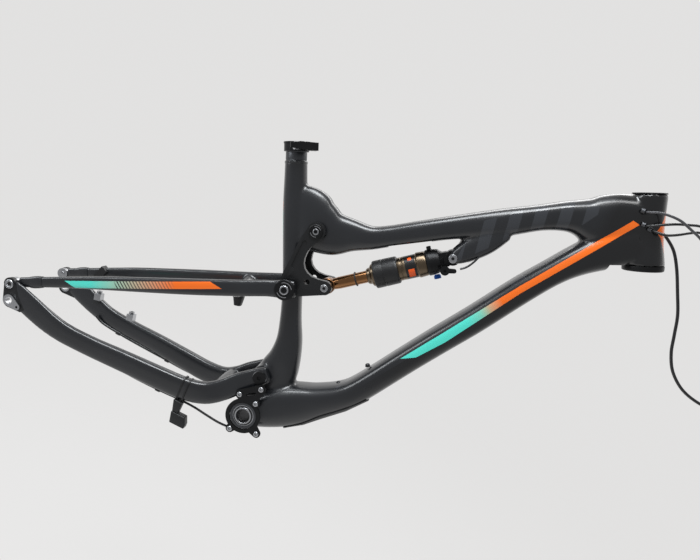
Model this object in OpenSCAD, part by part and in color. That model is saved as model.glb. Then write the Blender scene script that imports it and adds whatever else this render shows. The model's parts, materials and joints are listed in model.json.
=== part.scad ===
// Full-suspension bicycle frame, size medium, 27.5 inch wheels, about 150 mm of rear travel.
// Frame: origin at the centre of the bottom bracket, +X forward, +Y to the rider's left, +Z up.

/* [Main geometry] */
// Bottom bracket to top of the head tube, horizontally
reach = 428; // [424:1:432]
// Bottom bracket to top of the head tube, vertically
stack = 597; // [593:1:601]
// Head tube angle from the horizontal
head_angle = 67.5; // [67:0.5:68]
// Length of the head tube between the cup flanges
head_len = 107; // [105:1:109]
// Rear axle behind the bottom bracket
axle_x = -436; // [-438:1:-434]
// Rear axle above the bottom bracket
axle_z = 16; // [15:1:17]
// Width between the dropout faces
rear_spacing = 142; // [142, 148]

/* [Seat tube] */
// Seatpost bore
post_d = 31.6; // [30.9, 31.6]
// Outside diameter at the seat clamp
clamp_d = 34.9; // [34.9, 35]
// Depth of the seatpost sleeve
sleeve_len = 150; // [120:10:180]

/* [Bottom bracket] */
// Width of the press-fit shell
shell_w = 91.5; // [91.5, 92]
// Bore of the press-fit shell
shell_d = 41; // [41]
// Crank spindle bore
spindle_d = 24; // [24]

/* [Shock] */
// Outside diameter of the shock shaft
shaft_d = 20; // [18:1:21]
// Diameter of the shock mounting bolts
shock_bolt_d = 8; // [8]

/* [Hoses] */
// Diameter of the gear housing
housing_d = 4; // [4]
// Diameter of the brake hose
hose_d = 5; // [5]

/* [Hidden] */
eps = 0.01;
// pivots in the mid-plane, [x, z]
PM = [-1, 70];
PD = [-445, 42];
PU = [-12, 333];
PL = [-19, 228];
PS = [37, 255];
PF = [203, 384];
AX = [axle_x, axle_z];
ST_TOP = [-104.6, 447.3];
ST_DIR = [0.3703, -0.9289];
HT_TOP = [reach, stack];
HT_DIR = [cos(head_angle), -sin(head_angle)];
BRAKE_P = [[-364, 31.5], [-290.5, 22.5]];
SHOCK_A = atan2(PF[1] - PS[1], PF[0] - PS[0]);
SHOCK_L = norm(PF - PS);

// ---- sweep of rounded sections along a path; station = [x, y, z, half height, half width, squareness]
function unit(v) = v / norm(v);
function sgn_pow(c, e) = sign(c) * pow(abs(c), 2 / e);
function lerp(a, b, t) = a + (b - a) * t;
function cr(p0, p1, p2, p3, t) = 0.5 * (2 * p1 + (p2 - p0) * t + (2 * p0 - 5 * p1 + 4 * p2 - p3) * t * t + (3 * p1 - p0 - 3 * p2 + p3) * t * t * t);
function fine(st, k) = let (n = len(st)) concat([for (i = [0:n - 2]) for (j = [0:k - 1])
  let (a = st[max(i - 1, 0)], b = st[i], c = st[i + 1], d = st[min(i + 2, n - 1)]) cr(a, b, c, d, j / k)], [st[n - 1]]);
function pos(s) = [s[0], s[1], s[2]];
function ring(s, t, n, o) = let (w = abs(t[1]) > 0.8 ? [1, 0, 0] : [0, 1, 0], b = unit(w - t * (t * w)), m = cross(t, b), e = s[5])
  [for (i = [0:n - 1]) let (a = 360 * i / n + o) pos(s) + m * (s[3] * sgn_pow(cos(a), e)) + b * (s[4] * sgn_pow(sin(a), e))];
// closed skin over a stack of rings of n points, with a low point on each end cap
module skin(p, n, c0, c1) {
  m = len(p) / n;
  polyhedron(points = concat(p, [c0, c1]), faces = concat([for (i = [0:n - 1]) [m * n, (i + 1) % n, i]], [for (i = [0:n - 1]) [m * n + 1, (m - 1) * n + i, (m - 1) * n + (i + 1) % n]],
    [for (i = [0:m - 2]) for (j = [0:n - 1]) let (a = i * n + j, b = i * n + (j + 1) % n) each [[a, b + n, a + n], [a, b, b + n]]]), convexity = 6);
}
module sweep(st, n = 20, k = 2, turn = 4.3) {
  f = k > 1 ? fine(st, k) : st;
  m = len(f);
  d = [for (i = [0:m - 1]) unit(pos(f[min(i + 1, m - 1)]) - pos(f[max(i - 1, 0)]))];
  p = [for (i = [0:m - 1]) each ring(f[i], d[i], n, turn + 2.7 * i / m)];
  skin(p, n, pos(f[0]) - d[0] * 0.4, pos(f[m - 1]) + d[m - 1] * 0.4);
}
// round tube along points given by hand
function tring(p, t, r, n, up, o) = let (b = unit(cross(t, up)), m = cross(t, b)) [for (i = [0:n - 1]) p + (m * cos(360 * i / n + o) + b * sin(360 * i / n + o)) * r];
module tube(pts, r, n = 8, k = 3, up = [0, 1, 0]) {
  f = fine(pts, k);
  m = len(f);
  d = [for (i = [0:m - 1]) unit(f[min(i + 1, m - 1)] - f[max(i - 1, 0)])];
  skin([for (i = [0:m - 1]) each tring(f[i], d[i], r, n, up, 0)], n, f[0] - d[0] * 0.02, f[m - 1] + d[m - 1] * 0.02);
}
// cylinder along Y between two y values, centred on an [x, z] point
module ycyl(c, y0, y1, d, fn = 64) translate([c[0], y1, c[1]]) rotate([90, 0, 0]) cylinder(d = d, h = y1 - y0, $fn = fn);
module yring(c, y0, y1, d, bore, fn = 64) difference() { ycyl(c, y0, y1, d, fn); ycyl(c, y0 - 1, y1 + 1, bore, fn); }
module both() { children(); mirror([0, 1, 0]) children(); }
module along_seat(s) translate([ST_TOP[0] + ST_DIR[0] * s, 0, ST_TOP[1] + ST_DIR[1] * s]) rotate([0, atan2(ST_DIR[0], ST_DIR[1]), 0]) children();
module along_head(s) translate([HT_TOP[0] + HT_DIR[0] * s, 0, HT_TOP[1] + HT_DIR[1] * s]) rotate([0, 90 + head_angle, 0]) children();
// local frame of the shock: +X from the rear eye to the front eye
module shock_frame() translate([PS[0], 0, PS[1]]) rotate([0, -SHOCK_A, 0]) children();
module xcyl(x0, x1, d, d2 = 0, fn = 64) translate([x0, 0, 0]) rotate([0, 90, 0]) cylinder(d1 = d, d2 = d2 > 0 ? d2 : d, h = x1 - x0, $fn = fn);
// ---- stations of the carbon shells: [x, y, z, half height, half width, squareness]
TOP_TUBE = [[-52, 0, 337, 57, 17, 2.4], [-36, 0, 342, 53, 20, 2.6], [-14, 0, 339, 45, 20.6, 2.8], [12, 0, 339, 37, 20, 2.6], [39, 0, 348, 27.5, 19, 2.5], [71, 0, 358, 19.6, 20, 2.6],
  [97, 0, 373, 17.5, 21, 2.7], [136, 0, 398, 18, 22, 2.8], [172, 0, 421, 18.5, 23, 2.8], [212, 0, 445, 20, 24, 2.8], [252, 0, 468, 22, 25, 2.8],
  [298, 0, 497, 20.5, 26, 2.7], [330, 0, 514, 23.5, 26.5, 2.6], [350, 0, 521, 28, 27, 2.5], [372, 0, 526, 37, 26.8, 2.4], [404, 0, 539, 42, 26, 2.3], [436, 0, 554, 38, 24, 2.2]];
DOWN_TUBE = [[-2, 0, -2, 25, 44, 2.6], [22, 0, 12, 32, 42, 2.6], [50, 0, 31, 37, 37, 2.6], [78, 0, 48, 34.4, 33, 2.6], [104, 0, 66.4, 28, 31, 2.6], [136, 0, 92, 23.5, 30, 2.6],
  [160, 0, 121, 22, 29, 2.7], [208, 0, 199, 21.8, 28, 2.7], [240, 0, 250, 22, 28, 2.7], [278, 0, 309, 22, 28, 2.7], [322, 0, 382, 21.5, 28, 2.7],
  [352, 0, 427, 21, 28, 2.6], [377, 0, 459, 24, 28, 2.5], [408, 0, 491, 30, 28, 2.4], [444, 0, 522, 34, 25.5, 2.2]];
SEAT_TUBE = [[-93.7, 0, 420.1, 18.3, 18.2, 2], [-84, 0, 396, 19, 18.5, 2], [-66, 0, 351, 20, 19, 2.1], [-40, 0, 286, 18.5, 19, 2.2], [-22, 0, 240, 17, 19, 2.2], [-9, 0, 205, 17, 19, 2.2],
  [3, 0, 172, 18.5, 20, 2.2], [14, 0, 141, 22, 22, 2.3], [19, 0, 112, 27, 24, 2.4], [19, 0, 86, 33, 24, 2.4], [16, 0, 50, 36, 24, 2.4], [10, 0, 10, 28, 24, 2.4]];
CHAINSTAY = [[10, -32.4, 80, 13, 5.6, 2.4], [-1, -32.5, 70, 15.8, 6, 2.6], [-15, -33.5, 58, 16.6, 6.4, 2.6], [-31, -36, 43, 18, 7.5, 2.6], [-50, -40, 23, 18.5, 8.5, 2.6], [-75, -45, 6, 19, 9.5, 2.6], [-110, -50, -1, 19.5, 10, 2.6],
  [-160, -56, -1, 19, 10, 2.6], [-220, -62, 0, 18, 9.5, 2.6], [-280, -67, 0, 17, 8.5, 2.6], [-330, -70, 2, 17.5, 7.5, 2.6], [-365, -72.5, 9, 19, 6.2, 2.6], [-400, -74, 20, 20, 4.6, 2.6], [-430, -74.6, 30, 19, 3.8, 2.8], [-443, -74.7, 34, 16, 3.7, 2.8]];
SEATSTAY = [[-4, -43.2, 235, 13, 5.2, 2.4], [-19, -43.3, 228, 16, 5.7, 2.6], [-34, -44, 222, 14, 5.9, 2.6], [-50, -46, 216, 13.5, 6, 2.6], [-90, -50.5, 198, 13.5, 7, 2.6], [-146, -56, 174, 13.5, 7.5, 2.6], [-201, -60, 151, 13, 7.5, 2.6], [-299, -64, 110, 11.5, 6, 2.6], [-347, -65.2, 89, 10, 5, 2.6], [-405, -66, 62, 9, 4.3, 2.6], [-436, -66.2, 47, 9, 4, 2.6]];

// bores shared by the bonded carbon sections
module head_bore() {
  along_head(-20) cylinder(d = 44.1, h = head_len + 60, $fn = 96);
  along_head(head_len + 3.2) cylinder(d = 110, h = 50, $fn = 64);
  along_head(-47.8) cylinder(d = 110, h = 50, $fn = 64);
}
module seat_bore() along_seat(-5) cylinder(d = post_d + 2.1, h = sleeve_len + 19, $fn = 96);
module shell_bore() ycyl([0, 0], -60, 60, shell_d + 3.1, 96);
module head_tube() color([0.07, 0.075, 0.08]) difference() {
  along_head(2.2) rotate_extrude($fn = 96) polygon([[20, 0], [24.6, 0], [25.4, 4], [25.1, 14], [24.7, 34], [24.7, 58], [25.7, 78], [28.4, 96], [30, head_len + 1], [20, head_len + 1]]);
  along_head(-20) cylinder(d = 44.1, h = head_len + 60, $fn = 96);
}
module top_tube() color([0.07, 0.075, 0.08]) difference() {
  sweep(TOP_TUBE, 22, 1, 4.3);
  head_bore();
  seat_bore();
  ycyl(PU, -60, 60, 26.1, 64);
}
module down_tube() color([0.07, 0.075, 0.08]) difference() { sweep(DOWN_TUBE, 22, 1, 5.1); head_bore(); shell_bore(); }
module seat_tube() color([0.07, 0.075, 0.08]) difference() {
  sweep(SEAT_TUBE, 24, 1, 3.7);
  seat_bore();
  shell_bore();
  ycyl(PM, -60, 60, 15.1, 64);
}
module bb_shell() color([0.06, 0.062, 0.066]) difference() {
  union() { ycyl([0, 0], -shell_w / 2, shell_w / 2, 50, 96); ycyl(PM, -24.5, 24.5, 34, 64); translate([-17, -20, 10]) cube([30, 40, 55]); }
  shell_bore();
  ycyl(PM, -60, 60, 15.1, 64);
}
module shock_bracket() color([0.07, 0.075, 0.08]) difference() {
  sweep([[203.2, 0, 383.8, 11, 21, 3.2], [212, 0, 394, 16, 21.4, 3.2], [226, 0, 412, 19.5, 21.8, 3.2], [243, 0, 432, 19, 22.2, 3], [262, 0, 456, 13, 22, 3]], 20, 1, 5.7);
  ycyl(PF, -60, 60, 15.3, 64);
  ycyl(PF, -14.5, 14.5, 50, 64);
  translate([PF[0] - 60, -14.5, PF[1] - 80]) rotate([0, -SHOCK_A, 0]) cube([70, 29, 90]);
}
module seat_tube_sleeve() color("silver") along_seat(0) difference() {
  union() { cylinder(d = clamp_d, h = 28.8, $fn = 96); cylinder(d = post_d + 2, h = sleeve_len + 12, $fn = 96); }
  translate([0, 0, -1]) cylinder(d = post_d, h = sleeve_len + 20, $fn = 96);
}
// the ears of the clamp sit at the front, on the drive side
module clamp_place() along_seat(-1.5) rotate([0, 0, -128]) children();
module seat_clamp_collar() color([0.06, 0.06, 0.065]) clamp_place() difference() {
  union() {
    cylinder(d = 41, h = 15, $fn = 96);
    translate([14, -8.5, 0.5]) cube([19, 17, 14]);
    cylinder(d = 42.5, h = 2.4, $fn = 96);
  }
  translate([0, 0, 1.5]) cylinder(d = clamp_d + 0.04, h = 40, $fn = 96);
  translate([0, 0, -1]) cylinder(d = post_d + 0.4, h = 40, $fn = 96);
  translate([10, -1.2, -2]) cube([40, 2.4, 30]);
  translate([26, 30, 7.5]) rotate([90, 0, 0]) cylinder(d = 6.1, h = 60, $fn = 40);
}
module seat_clamp_skewer() color("silver") clamp_place() translate([26, 0, 7.5]) {
  translate([0, 16, 0]) rotate([90, 0, 0]) cylinder(d = 6, h = 30, $fn = 40);
  // knurled nut
  translate([0, 16, 0]) rotate([90, 0, 0]) difference() { cylinder(d = 13, h = 7.2, $fn = 48); for (i = [0:11]) rotate([0, 0, 30 * i]) translate([6.9, 0, -1]) cylinder(d = 1.6, h = 10, $fn = 16); }
  // washer, eye and cross pin at the cam end
  translate([0, -8.8, 0]) rotate([90, 0, 0]) cylinder(d = 11, h = 2.2, $fn = 48);
  translate([0, -17.5, -3]) cylinder(d = 8.6, h = 6, $fn = 48);
  translate([0, -17.5, -6.4]) cylinder(d = 4, h = 12.8, $fn = 40);
}
module seat_clamp_lever() color([0.08, 0.08, 0.085]) clamp_place() translate([26, -17.5, 7.5]) difference() {
  union() {
    for (z = [-6.3, 3.3]) { translate([0, 0, z]) cylinder(d = 11, h = 3, $fn = 48); translate([0, -4, z]) cube([10, 8, 3]); }
    translate([7.8, -4, -6.3]) cube([3.4, 16, 12.6]);
    hull() { translate([7.8, 10, -6.3]) cube([3.4, 2, 12.6]); translate([9.6, 27, -5.5]) cube([3, 3, 11]); }
    hull() { translate([9.6, 27, -5.5]) cube([3, 3, 11]); translate([7.6, 40, -4]) cube([3, 4, 8]); }
  }
  translate([0, 0, -10]) cylinder(d = 4.1, h = 20, $fn = 40);
}
module headset_cups() color([0.1, 0.1, 0.105]) {
  along_head(0) difference() {
    union() { cylinder(d = 50, h = 2.2, $fn = 96); cylinder(d = 44, h = 16, $fn = 96); }
    translate([0, 0, -1]) cylinder(d = 41.8, h = 9.5, $fn = 96);
    cylinder(d = 35, h = 20, $fn = 96);
  }
  along_head(head_len + 3.2) difference() {
    union() { cylinder(d = 60, h = 8.4, $fn = 96); translate([0, 0, -12]) cylinder(d = 44, h = 13, $fn = 96); }
    translate([0, 0, 1]) cylinder(d = 52, h = 9, $fn = 96);
    translate([0, 0, -16]) cylinder(d = 40, h = 30, $fn = 96);
  }
}
module bb_shell_sleeve() color([0.5, 0.5, 0.52]) yring([0, 0], -shell_w / 2 + 0.2, shell_w / 2 - 0.2, shell_d + 3, shell_d, 96);
module bb_cups() color([0.42, 0.43, 0.45]) both() difference() {
  union() { ycyl([0, 0], -shell_w / 2, -shell_w / 2 + 14, shell_d, 96); ycyl([0, 0], -shell_w / 2 - 2, -shell_w / 2, 45, 96); }
  ycyl([0, 0], -shell_w / 2 - 3, -shell_w / 2 + 6.2, 37, 96);
  ycyl([0, 0], -60, -20, 34, 96);
}
module bb_bearing_outer_rings() color("silver") both() yring([0, 0], -shell_w / 2 - 0.8, -shell_w / 2 + 6.2, 37, 33, 96);
module bb_bearing_inner_rings() color([0.75, 0.76, 0.78]) both() {
  difference() { union() { ycyl([0, 0], -shell_w / 2 - 0.8, -shell_w / 2 + 6.2, 32.4, 96); ycyl([0, 0], -shell_w / 2 - 2.2, -shell_w / 2 - 0.8, 29, 96); } ycyl([0, 0], -60, -30, spindle_d, 96); }
}
module guide_mount_plate() color([0.07, 0.07, 0.075]) difference() {
  union() {
    difference() { ycyl([0, 0], -shell_w / 2 - 3.2, -shell_w / 2 - 0.1, 60, 96); }
    for (c = [[12, 30], [-12, -30], [33, -18]]) hull() { ycyl(c, -shell_w / 2 - 3.2, -shell_w / 2 - 0.1, 14, 32); ycyl(c * 0.6, -shell_w / 2 - 3.2, -shell_w / 2 - 0.1, 20, 32); }
    hull() { ycyl([-19, 33], -shell_w / 2 - 3.2, -shell_w / 2 - 0.1, 15, 32); ycyl([11, 57], -shell_w / 2 - 3.2, -shell_w / 2 - 0.1, 15, 32); ycyl([0, 28], -shell_w / 2 - 3.2, -shell_w / 2 - 0.1, 24, 32); }
  }
  ycyl([0, 0], -60, -40, 47, 96);
  for (c = [[12, 30], [-12, -30], [33, -18], [-19, 33], [11, 57]]) ycyl(c, -60, -40, 6.02, 32);
}
module frame_small_bolts() color([0.75, 0.76, 0.78]) {
  for (c = [[12, 30], [-12, -30], [33, -18], [-19, 33], [11, 57]]) difference() {
    union() { ycyl(c, -shell_w / 2 - 6, -shell_w / 2 - 3.2, 9, 40); ycyl(c, -shell_w / 2 - 3.2, -shell_w / 2 - 0.1, 6, 40); }
    translate([c[0], -shell_w / 2 - 4, c[1]]) rotate([90, 0, 0]) cylinder(d = 4.6, h = 5, $fn = 6);
  }
  // bottle bosses on the down tube
  for (p = [[122.2, 107.4], [154.2, 158]]) translate([p[0], 0, p[1]]) rotate([0, -33, 0]) difference() { cylinder(d = 8.4, h = 4.4, $fn = 48); translate([0, 0, 1.6]) cylinder(d = 4.6, h = 5, $fn = 6); }
}
function under(s, t, o, a0, a1) = let (w = [0, 1, 0], b = unit(w - t * (t * w)), m = cross(t, b), e = s[5], q = (a1 - a0) / 14)
  [for (i = [0:14]) let (a = a0 + i * q) pos(s) + m * ((s[3] + o) * sgn_pow(cos(a), e)) + b * ((s[4] + o) * sgn_pow(sin(a), e))];
module downtube_guard() color([0.05, 0.05, 0.055]) {
  f = [for (i = [2:6]) DOWN_TUBE[i]];
  m = len(f);
  d = [for (i = [2:6]) unit(pos(DOWN_TUBE[i + 1]) - pos(DOWN_TUBE[i - 1]))];
  w = [34, 40, 50, 52, 44];
  p = [for (i = [0:m - 1]) each concat(under(f[i], d[i], 2.6, 180 - w[i], 180 + w[i]), [for (j = [14:-1:0]) under(f[i], d[i], 0.35, 180 - w[i], 180 + w[i])[j]])];
  n = 30;
  polyhedron(points = p, faces = concat([for (i = [0:13]) each [[i, 28 - i, i + 1], [i, 29 - i, 28 - i]]],
    [for (i = [0:13]) let (z = (m - 1) * n) each [[z + 28 - i, z + i, z + i + 1], [z + 29 - i, z + i, z + 28 - i]]],
    [for (i = [0:m - 2]) for (j = [0:n - 1]) let (a = i * n + j, b = i * n + (j + 1) % n) each [[a, b + n, a + n], [a, b, b + n]]]), convexity = 6);
}
module cable_ports() color([0.3, 0.31, 0.33]) for (p = [[424, -25.2, 566], [434, -25.2, 548], [445, -25.4, 545.5]]) translate(p) rotate([90, 0, 55]) { difference() { translate([0, 0, -1.5]) cylinder(d = 8, h = 5.5, $fn = 40); translate([0, 0, -2]) cylinder(d = 5.1, h = 10, $fn = 40); } }
module main_pivot_axle() color([0.72, 0.73, 0.75]) difference() { ycyl(PM, -38.6, 38.6, 15, 64); ycyl(PM, -60, 60, 9.02, 64); }
module main_pivot_bolts() color([0.3, 0.3, 0.32]) both() difference() { union() { ycyl(PM, -41.6, -38.7, 22, 64); ycyl(PM, -38.8, -22, 9, 48); } translate([PM[0], -39.6, PM[1]]) rotate([90, 0, 0]) cylinder(d = 8, h = 6, $fn = 6); }
module main_pivot_bearings() color("silver") both() yring(PM, -38.4, -26.4, 24, 15.04, 64);
module rocker_pivot_axle() color([0.7, 0.71, 0.73]) difference() { ycyl(PU, -34.5, 34.5, 12, 64); ycyl(PU, -60, 60, 6.02, 48); }
module rocker_pivot_bearings() color("silver") both() yring(PU, -20.4, -12.4, 26, 12.04, 64);
module rocker_pivot_caps() color([0.07, 0.07, 0.075]) both() difference() { union() { ycyl(PU, -37, -34.6, 24, 64); ycyl(PU, -34.6, -24, 6, 48); } translate([PU[0], -35.6, PU[1]]) rotate([90, 0, 0]) cylinder(d = 5.8, h = 6, $fn = 6); }
module shock_front_bolt() color("silver") difference() { union() { ycyl(PF, -21, 21, shock_bolt_d, 48); ycyl(PF, -25, -21.2, 14.5, 48); ycyl(PF, 21.2, 24, 14.5, 48); ycyl(PF, -21.2, 21.2, 15.2, 64); } translate([PF[0], -22.5, PF[1]]) rotate([90, 0, 0]) cylinder(d = 5.8, h = 6, $fn = 6); }

module chainstays() color([0.075, 0.08, 0.085]) both() difference() {
  sweep(CHAINSTAY, 16, 1, 4.1);
  ycyl(PM, -60, -20, 24.04, 64);
  ycyl(PD, -90, -60, 21.6, 64);
  ycyl(AX, -90, -60, 26.2, 64);
}
module swingarm_yoke() color([0.075, 0.08, 0.085]) {
  sweep([[-56, -41, 18, 14, 13, 2.6], [-59, -24, 20, 13, 12, 2.6], [-60, 1, 20, 13, 12, 2.6], [-59, 24, 20, 13, 12, 2.6], [-56, 41, 18, 14, 13, 2.6]], 18, 1, 2.6);
}
module dropout_plates() color([0.085, 0.09, 0.095]) both() difference() {
  union() { ycyl(PD, -78.5, -71, 21.5, 64); ycyl(AX, -78.5, -71, 26, 64); translate([0, -71, 0]) rotate([90, 0, 0]) linear_extrude(7.5) polygon([PD + [-10.7, 0], PD + [8, 7], AX + [12, 13], AX + [30, -5], AX + [24, -12], AX + [0, -12.9], AX + [-12, -5]]); }
  ycyl(PD, -90, -60, 8.04, 64);
  ycyl(AX, -90, -60, 18.04, 64);
}
module derailleur_hanger() color([0.8, 0.81, 0.83]) difference() {
  union() {
    ycyl(AX, -80, -70.9, 18, 64);
    hull() { ycyl(AX, -81.6, -78.8, 20, 32); ycyl(AX + [17, -5], -81.6, -78.8, 11, 32); }
  }
  ycyl(AX, -90, -60, 12.02, 64);
  ycyl(AX + [17, -5], -90, -60, 4.02, 40);
}
module axle_nut_insert() color([0.75, 0.76, 0.78]) difference() { union() { ycyl(AX, 70.9, 80, 18, 64); ycyl(AX, 78.8, 80.6, 22, 64); } ycyl(AX, 60, 90, 12.02, 64); }
module brake_mount() color([0.78, 0.79, 0.8]) for (p = BRAKE_P) translate([p[0], 68, p[1]]) rotate([0, -11, 0]) difference() {
  translate([-6.5, -6.5, -8]) cube([13, 13, 13]);
  translate([0, 0, -20]) cylinder(d = 6.02, h = 60, $fn = 40);
}
module brake_mount_bolts() color([0.7, 0.7, 0.72]) for (p = BRAKE_P) translate([p[0], 68, p[1]]) rotate([0, -11, 0]) difference() { union() { translate([0, 0, 5.1]) cylinder(d = 10, h = 4.4, $fn = 40); translate([0, 0, -7]) cylinder(d = 6, h = 12.2, $fn = 40); } translate([0, 0, 7.2]) cylinder(d = 5.2, h = 5, $fn = 6); }
module dropout_pivot_bolts() color([0.72, 0.73, 0.75]) both() difference() { union() { ycyl(PD, -78.6, -61.5, 8, 48); ycyl(PD, -81.4, -78.7, 15.5, 48); } translate([PD[0], -80, PD[1]]) rotate([90, 0, 0]) cylinder(d = 5.8, h = 6, $fn = 6); }
module stay_cable_clips() color([0.06, 0.06, 0.06]) {
  for (p = [[-300, 62.5, -16.5], [-190, 56, -19]]) translate(p) rotate([0, 90, 0]) translate([0, 0, -4]) difference() { cylinder(d = hose_d + 3, h = 8, $fn = 32); translate([0, 0, -1]) cylinder(d = hose_d + 0.1, h = 10, $fn = 32); }
  for (p = [[-150, -54, -22.3]]) translate(p) rotate([0, 90, 0]) translate([0, 0, -4]) difference() { cylinder(d = housing_d + 3, h = 8, $fn = 32); translate([0, 0, -1]) cylinder(d = housing_d + 0.1, h = 10, $fn = 32); }
}
module wheel_sensor() color([0.05, 0.05, 0.055]) {
  translate([-108, -58, -27.6]) cube([17, 10, 13.2], center = true);
  hull() { translate([-99, -58, -42]) cube([27, 13, 2], center = true); translate([-95, -58, -58]) cube([28, 13, 8], center = true); }
}

module seatstays() color([0.075, 0.08, 0.085]) both() difference() {
  sweep(SEATSTAY, 16, 1, 4.1);
  ycyl(PL, -60, -20, 12.04, 64);
  ycyl(PD, -90, -50, 20.1, 64);
}
module seatstay_tips() color([0.55, 0.56, 0.58]) both() yring(PD, -70.4, -62, 20, 8.04, 64);
module seatstay_bridge() color([0.075, 0.08, 0.085]) {
  sweep([[-98, -50, 194, 9, 12, 2.6], [-98, -30, 186, 10, 12, 2.6], [-98, 1, 184, 10, 12, 2.6], [-98, 30, 186, 10, 12, 2.6], [-98, 50, 194, 9, 12, 2.6]], 18, 1, 3.2);
}
module bridge_bumper() color([0.05, 0.05, 0.055]) sweep([[-97.5, 0, 174.5, 10.5, 10, 3.2], [-95, 0.1, 168, 8.6, 9.6, 3.2], [-92, 0, 156, 6, 8, 3.2]], 16, 1, 5.2);
module rocker_stay_bolts() color([0.75, 0.76, 0.78]) both() difference() { union() { ycyl(PL, -52, -49.2, 15, 64); ycyl(PL, -49.3, -27, 12, 64); } ycyl(PL, -60, -49.8, 8, 48); }
module seatstay_hose_clamp() color([0.06, 0.06, 0.06]) translate([-372, 63.6, 77]) rotate([0, 24, 0]) difference() { cube([14, 15, 25], center = true); cube([20, 11.6, 20.4], center = true); }
module link_side() difference() {
  union() {
    ycyl(PU, -34, -23.4, 30, 64);
    ycyl(PL, -34, -23.4, 36, 64);
    ycyl(PS, -34, -23.4, 23, 64);
    translate([0, -23.4, 0]) rotate([90, 0, 0]) linear_extrude(10.6)
      polygon([[-26.8, 331], [-32, 300], [-33, 280], [-36.8, 231], [-19, 228], [-7, 214.8], [4, 224.5], [41.5, 244.6], [37, 255], [34, 266], [10, 262.5], [-4, 267], [-12, 279], [-11, 298], [2.6, 330], [-12, 333]]);
  }
  ycyl(PU, -60, 0, 12.04, 64);
  ycyl(PL, -60, 0, 25, 64);
  ycyl(PS, -60, 0, shock_bolt_d, 64);
  ycyl([7, 252], -60, 0, 9, 40);
}
module rocker_link() color([0.085, 0.09, 0.095]) both() link_side();
module shock_rear_bolt() color("silver") difference() { union() { ycyl(PS, -34.2, 34.2, shock_bolt_d, 48); ycyl(PS, -37.4, -34.1, 13.5, 48); ycyl(PS, 34.1, 37.4, 13.5, 48); both() yring(PS, -23.3, -11.4, 14, shock_bolt_d, 48); } translate([PS[0], -35.6, PS[1]]) rotate([90, 0, 0]) cylinder(d = 5.8, h = 6, $fn = 6); }

module shock_shaft() color([0.66, 0.45, 0.2]) shock_frame() difference() {
  union() {
    difference() { union() { rotate([90, 0, 0]) translate([0, 0, -11]) cylinder(d = 26, h = 22, $fn = 64); xcyl(8, 20, 17, 20); xcyl(19, 118, shaft_d); } }
  }
  rotate([90, 0, 0]) translate([0, 0, -20]) cylinder(d = 15.2, h = 40, $fn = 64);
}
module shock_travel_ring() color([0.05, 0.05, 0.05]) shock_frame() difference() { xcyl(47.5, 49.9, shaft_d + 4.4); xcyl(40, 60, shaft_d + 0.06); }
module shock_can() color([0.55, 0.47, 0.32]) shock_frame() difference() {
  union() { xcyl(69, 78, 25, 38); xcyl(78, 80, 38); xcyl(80, 152, 38.2); xcyl(152, 168, 42, 40); }
  xcyl(60, 165.5, shaft_d + 0.08);
}
module shock_sleeve() color([0.05, 0.05, 0.055]) shock_frame() difference() { union() { xcyl(80.3, 110, 46, 44); } xcyl(70, 150, 38.3); }
module shock_head() color([0.06, 0.06, 0.065]) shock_frame() difference() {
  union() { xcyl(168.2, 190, 41, 36); hull() { xcyl(186, 190, 36); rotate([90, 0, 0]) translate([SHOCK_L, 0, -12.5]) cylinder(d = 25, h = 25, $fn = 32); } }
  rotate([90, 0, 0]) translate([SHOCK_L, 0, -20]) cylinder(d = 15.24, h = 40, $fn = 64);
}
module shock_rebound_knob() color([0.1, 0.25, 0.6]) shock_frame() translate([180, 0, -21.5]) rotate([180, 0, 0]) difference() { union() { cylinder(d = 9, h = 2, $fn = 40); translate([0, 0, 1.8]) cylinder(d = 11.5, h = 5, $fn = 48); } for (i = [0:9]) rotate([0, 0, 36 * i]) translate([6.2, 0, 3]) cylinder(d = 1.8, h = 8, $fn = 16); }
module shock_lockout_lever() color([0.09, 0.09, 0.1]) shock_frame() translate([194, -19.4, -16]) rotate([90, 0, 0]) { difference() { union() { cylinder(d = 15, h = 5, $fn = 48); hull() { cylinder(d = 8, h = 3.6, $fn = 24); translate([14, -4, 0]) cylinder(d = 7, h = 3.6, $fn = 24); } } translate([0, 0, 2]) cylinder(d = 5, h = 6, $fn = 6); } }

// ---- hoses and housings; routes are centre lines in [x, y, z]
R_SHOCK_CABLE = [[242, -14, 422], [240, -16, 412], [238, -18.5, 401], [233, -21.5, 389], [227, -23.5, 380], [220, -24.5, 374]];
R_BRAKE_REAR = [[-352, 60, -4], [-335, 61.5, -12], [-300, 62.5, -16.5], [-270, 60, -17.5], [-230, 57.5, -18.2], [-190, 56, -19], [-150, 53, -19.5], [-126, 50, -17]];
R_GEAR_STAY = [[-236, -57, -12], [-222, -56, -18.5], [-200, -55, -21.5], [-150, -54, -22.3], [-112, -48.5, -24], [-84, -44, -27]];
R_GEAR_FRAME = [[-83.4, -43.9, -27.1], [-60, -41, -31.5], [-34, -37, -36], [-12, -32, -36.5], [8, -27, -33], [24, -22, -27]];
R_GEAR_FRONT = [[428.5, -28.5, 566], [433, -33, 567.5], [446, -38, 572], [471, -39, 573], [495, -36, 567], [516, -32, 560], [544, -26, 544], [573, -20, 512], [602, -16, 467], [633, -12, 412], [663, -10, 355], [694, -8, 298]];
R_MECH_FRONT = [[438.5, -28.5, 548], [444, -33, 551], [456, -36, 558], [474, -32, 567], [493, -25, 574], [509, -20, 579], [536, -12, 582], [565, -6, 568], [594, -2, 536], [626, 0, 483], [655, 2, 428], [685, 2, 371], [711, 2, 321]];
R_REMOTE_FRONT = [[449.5, -28.7, 545.5], [455, -33.5, 545], [466, -36, 546], [481, -33, 553], [500, -22, 564], [515, -14, 571], [542, -4, 577], [572, 4, 571], [607, 10, 541], [643, 12, 489], [676, 14, 434], [706, 14, 377]];
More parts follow.
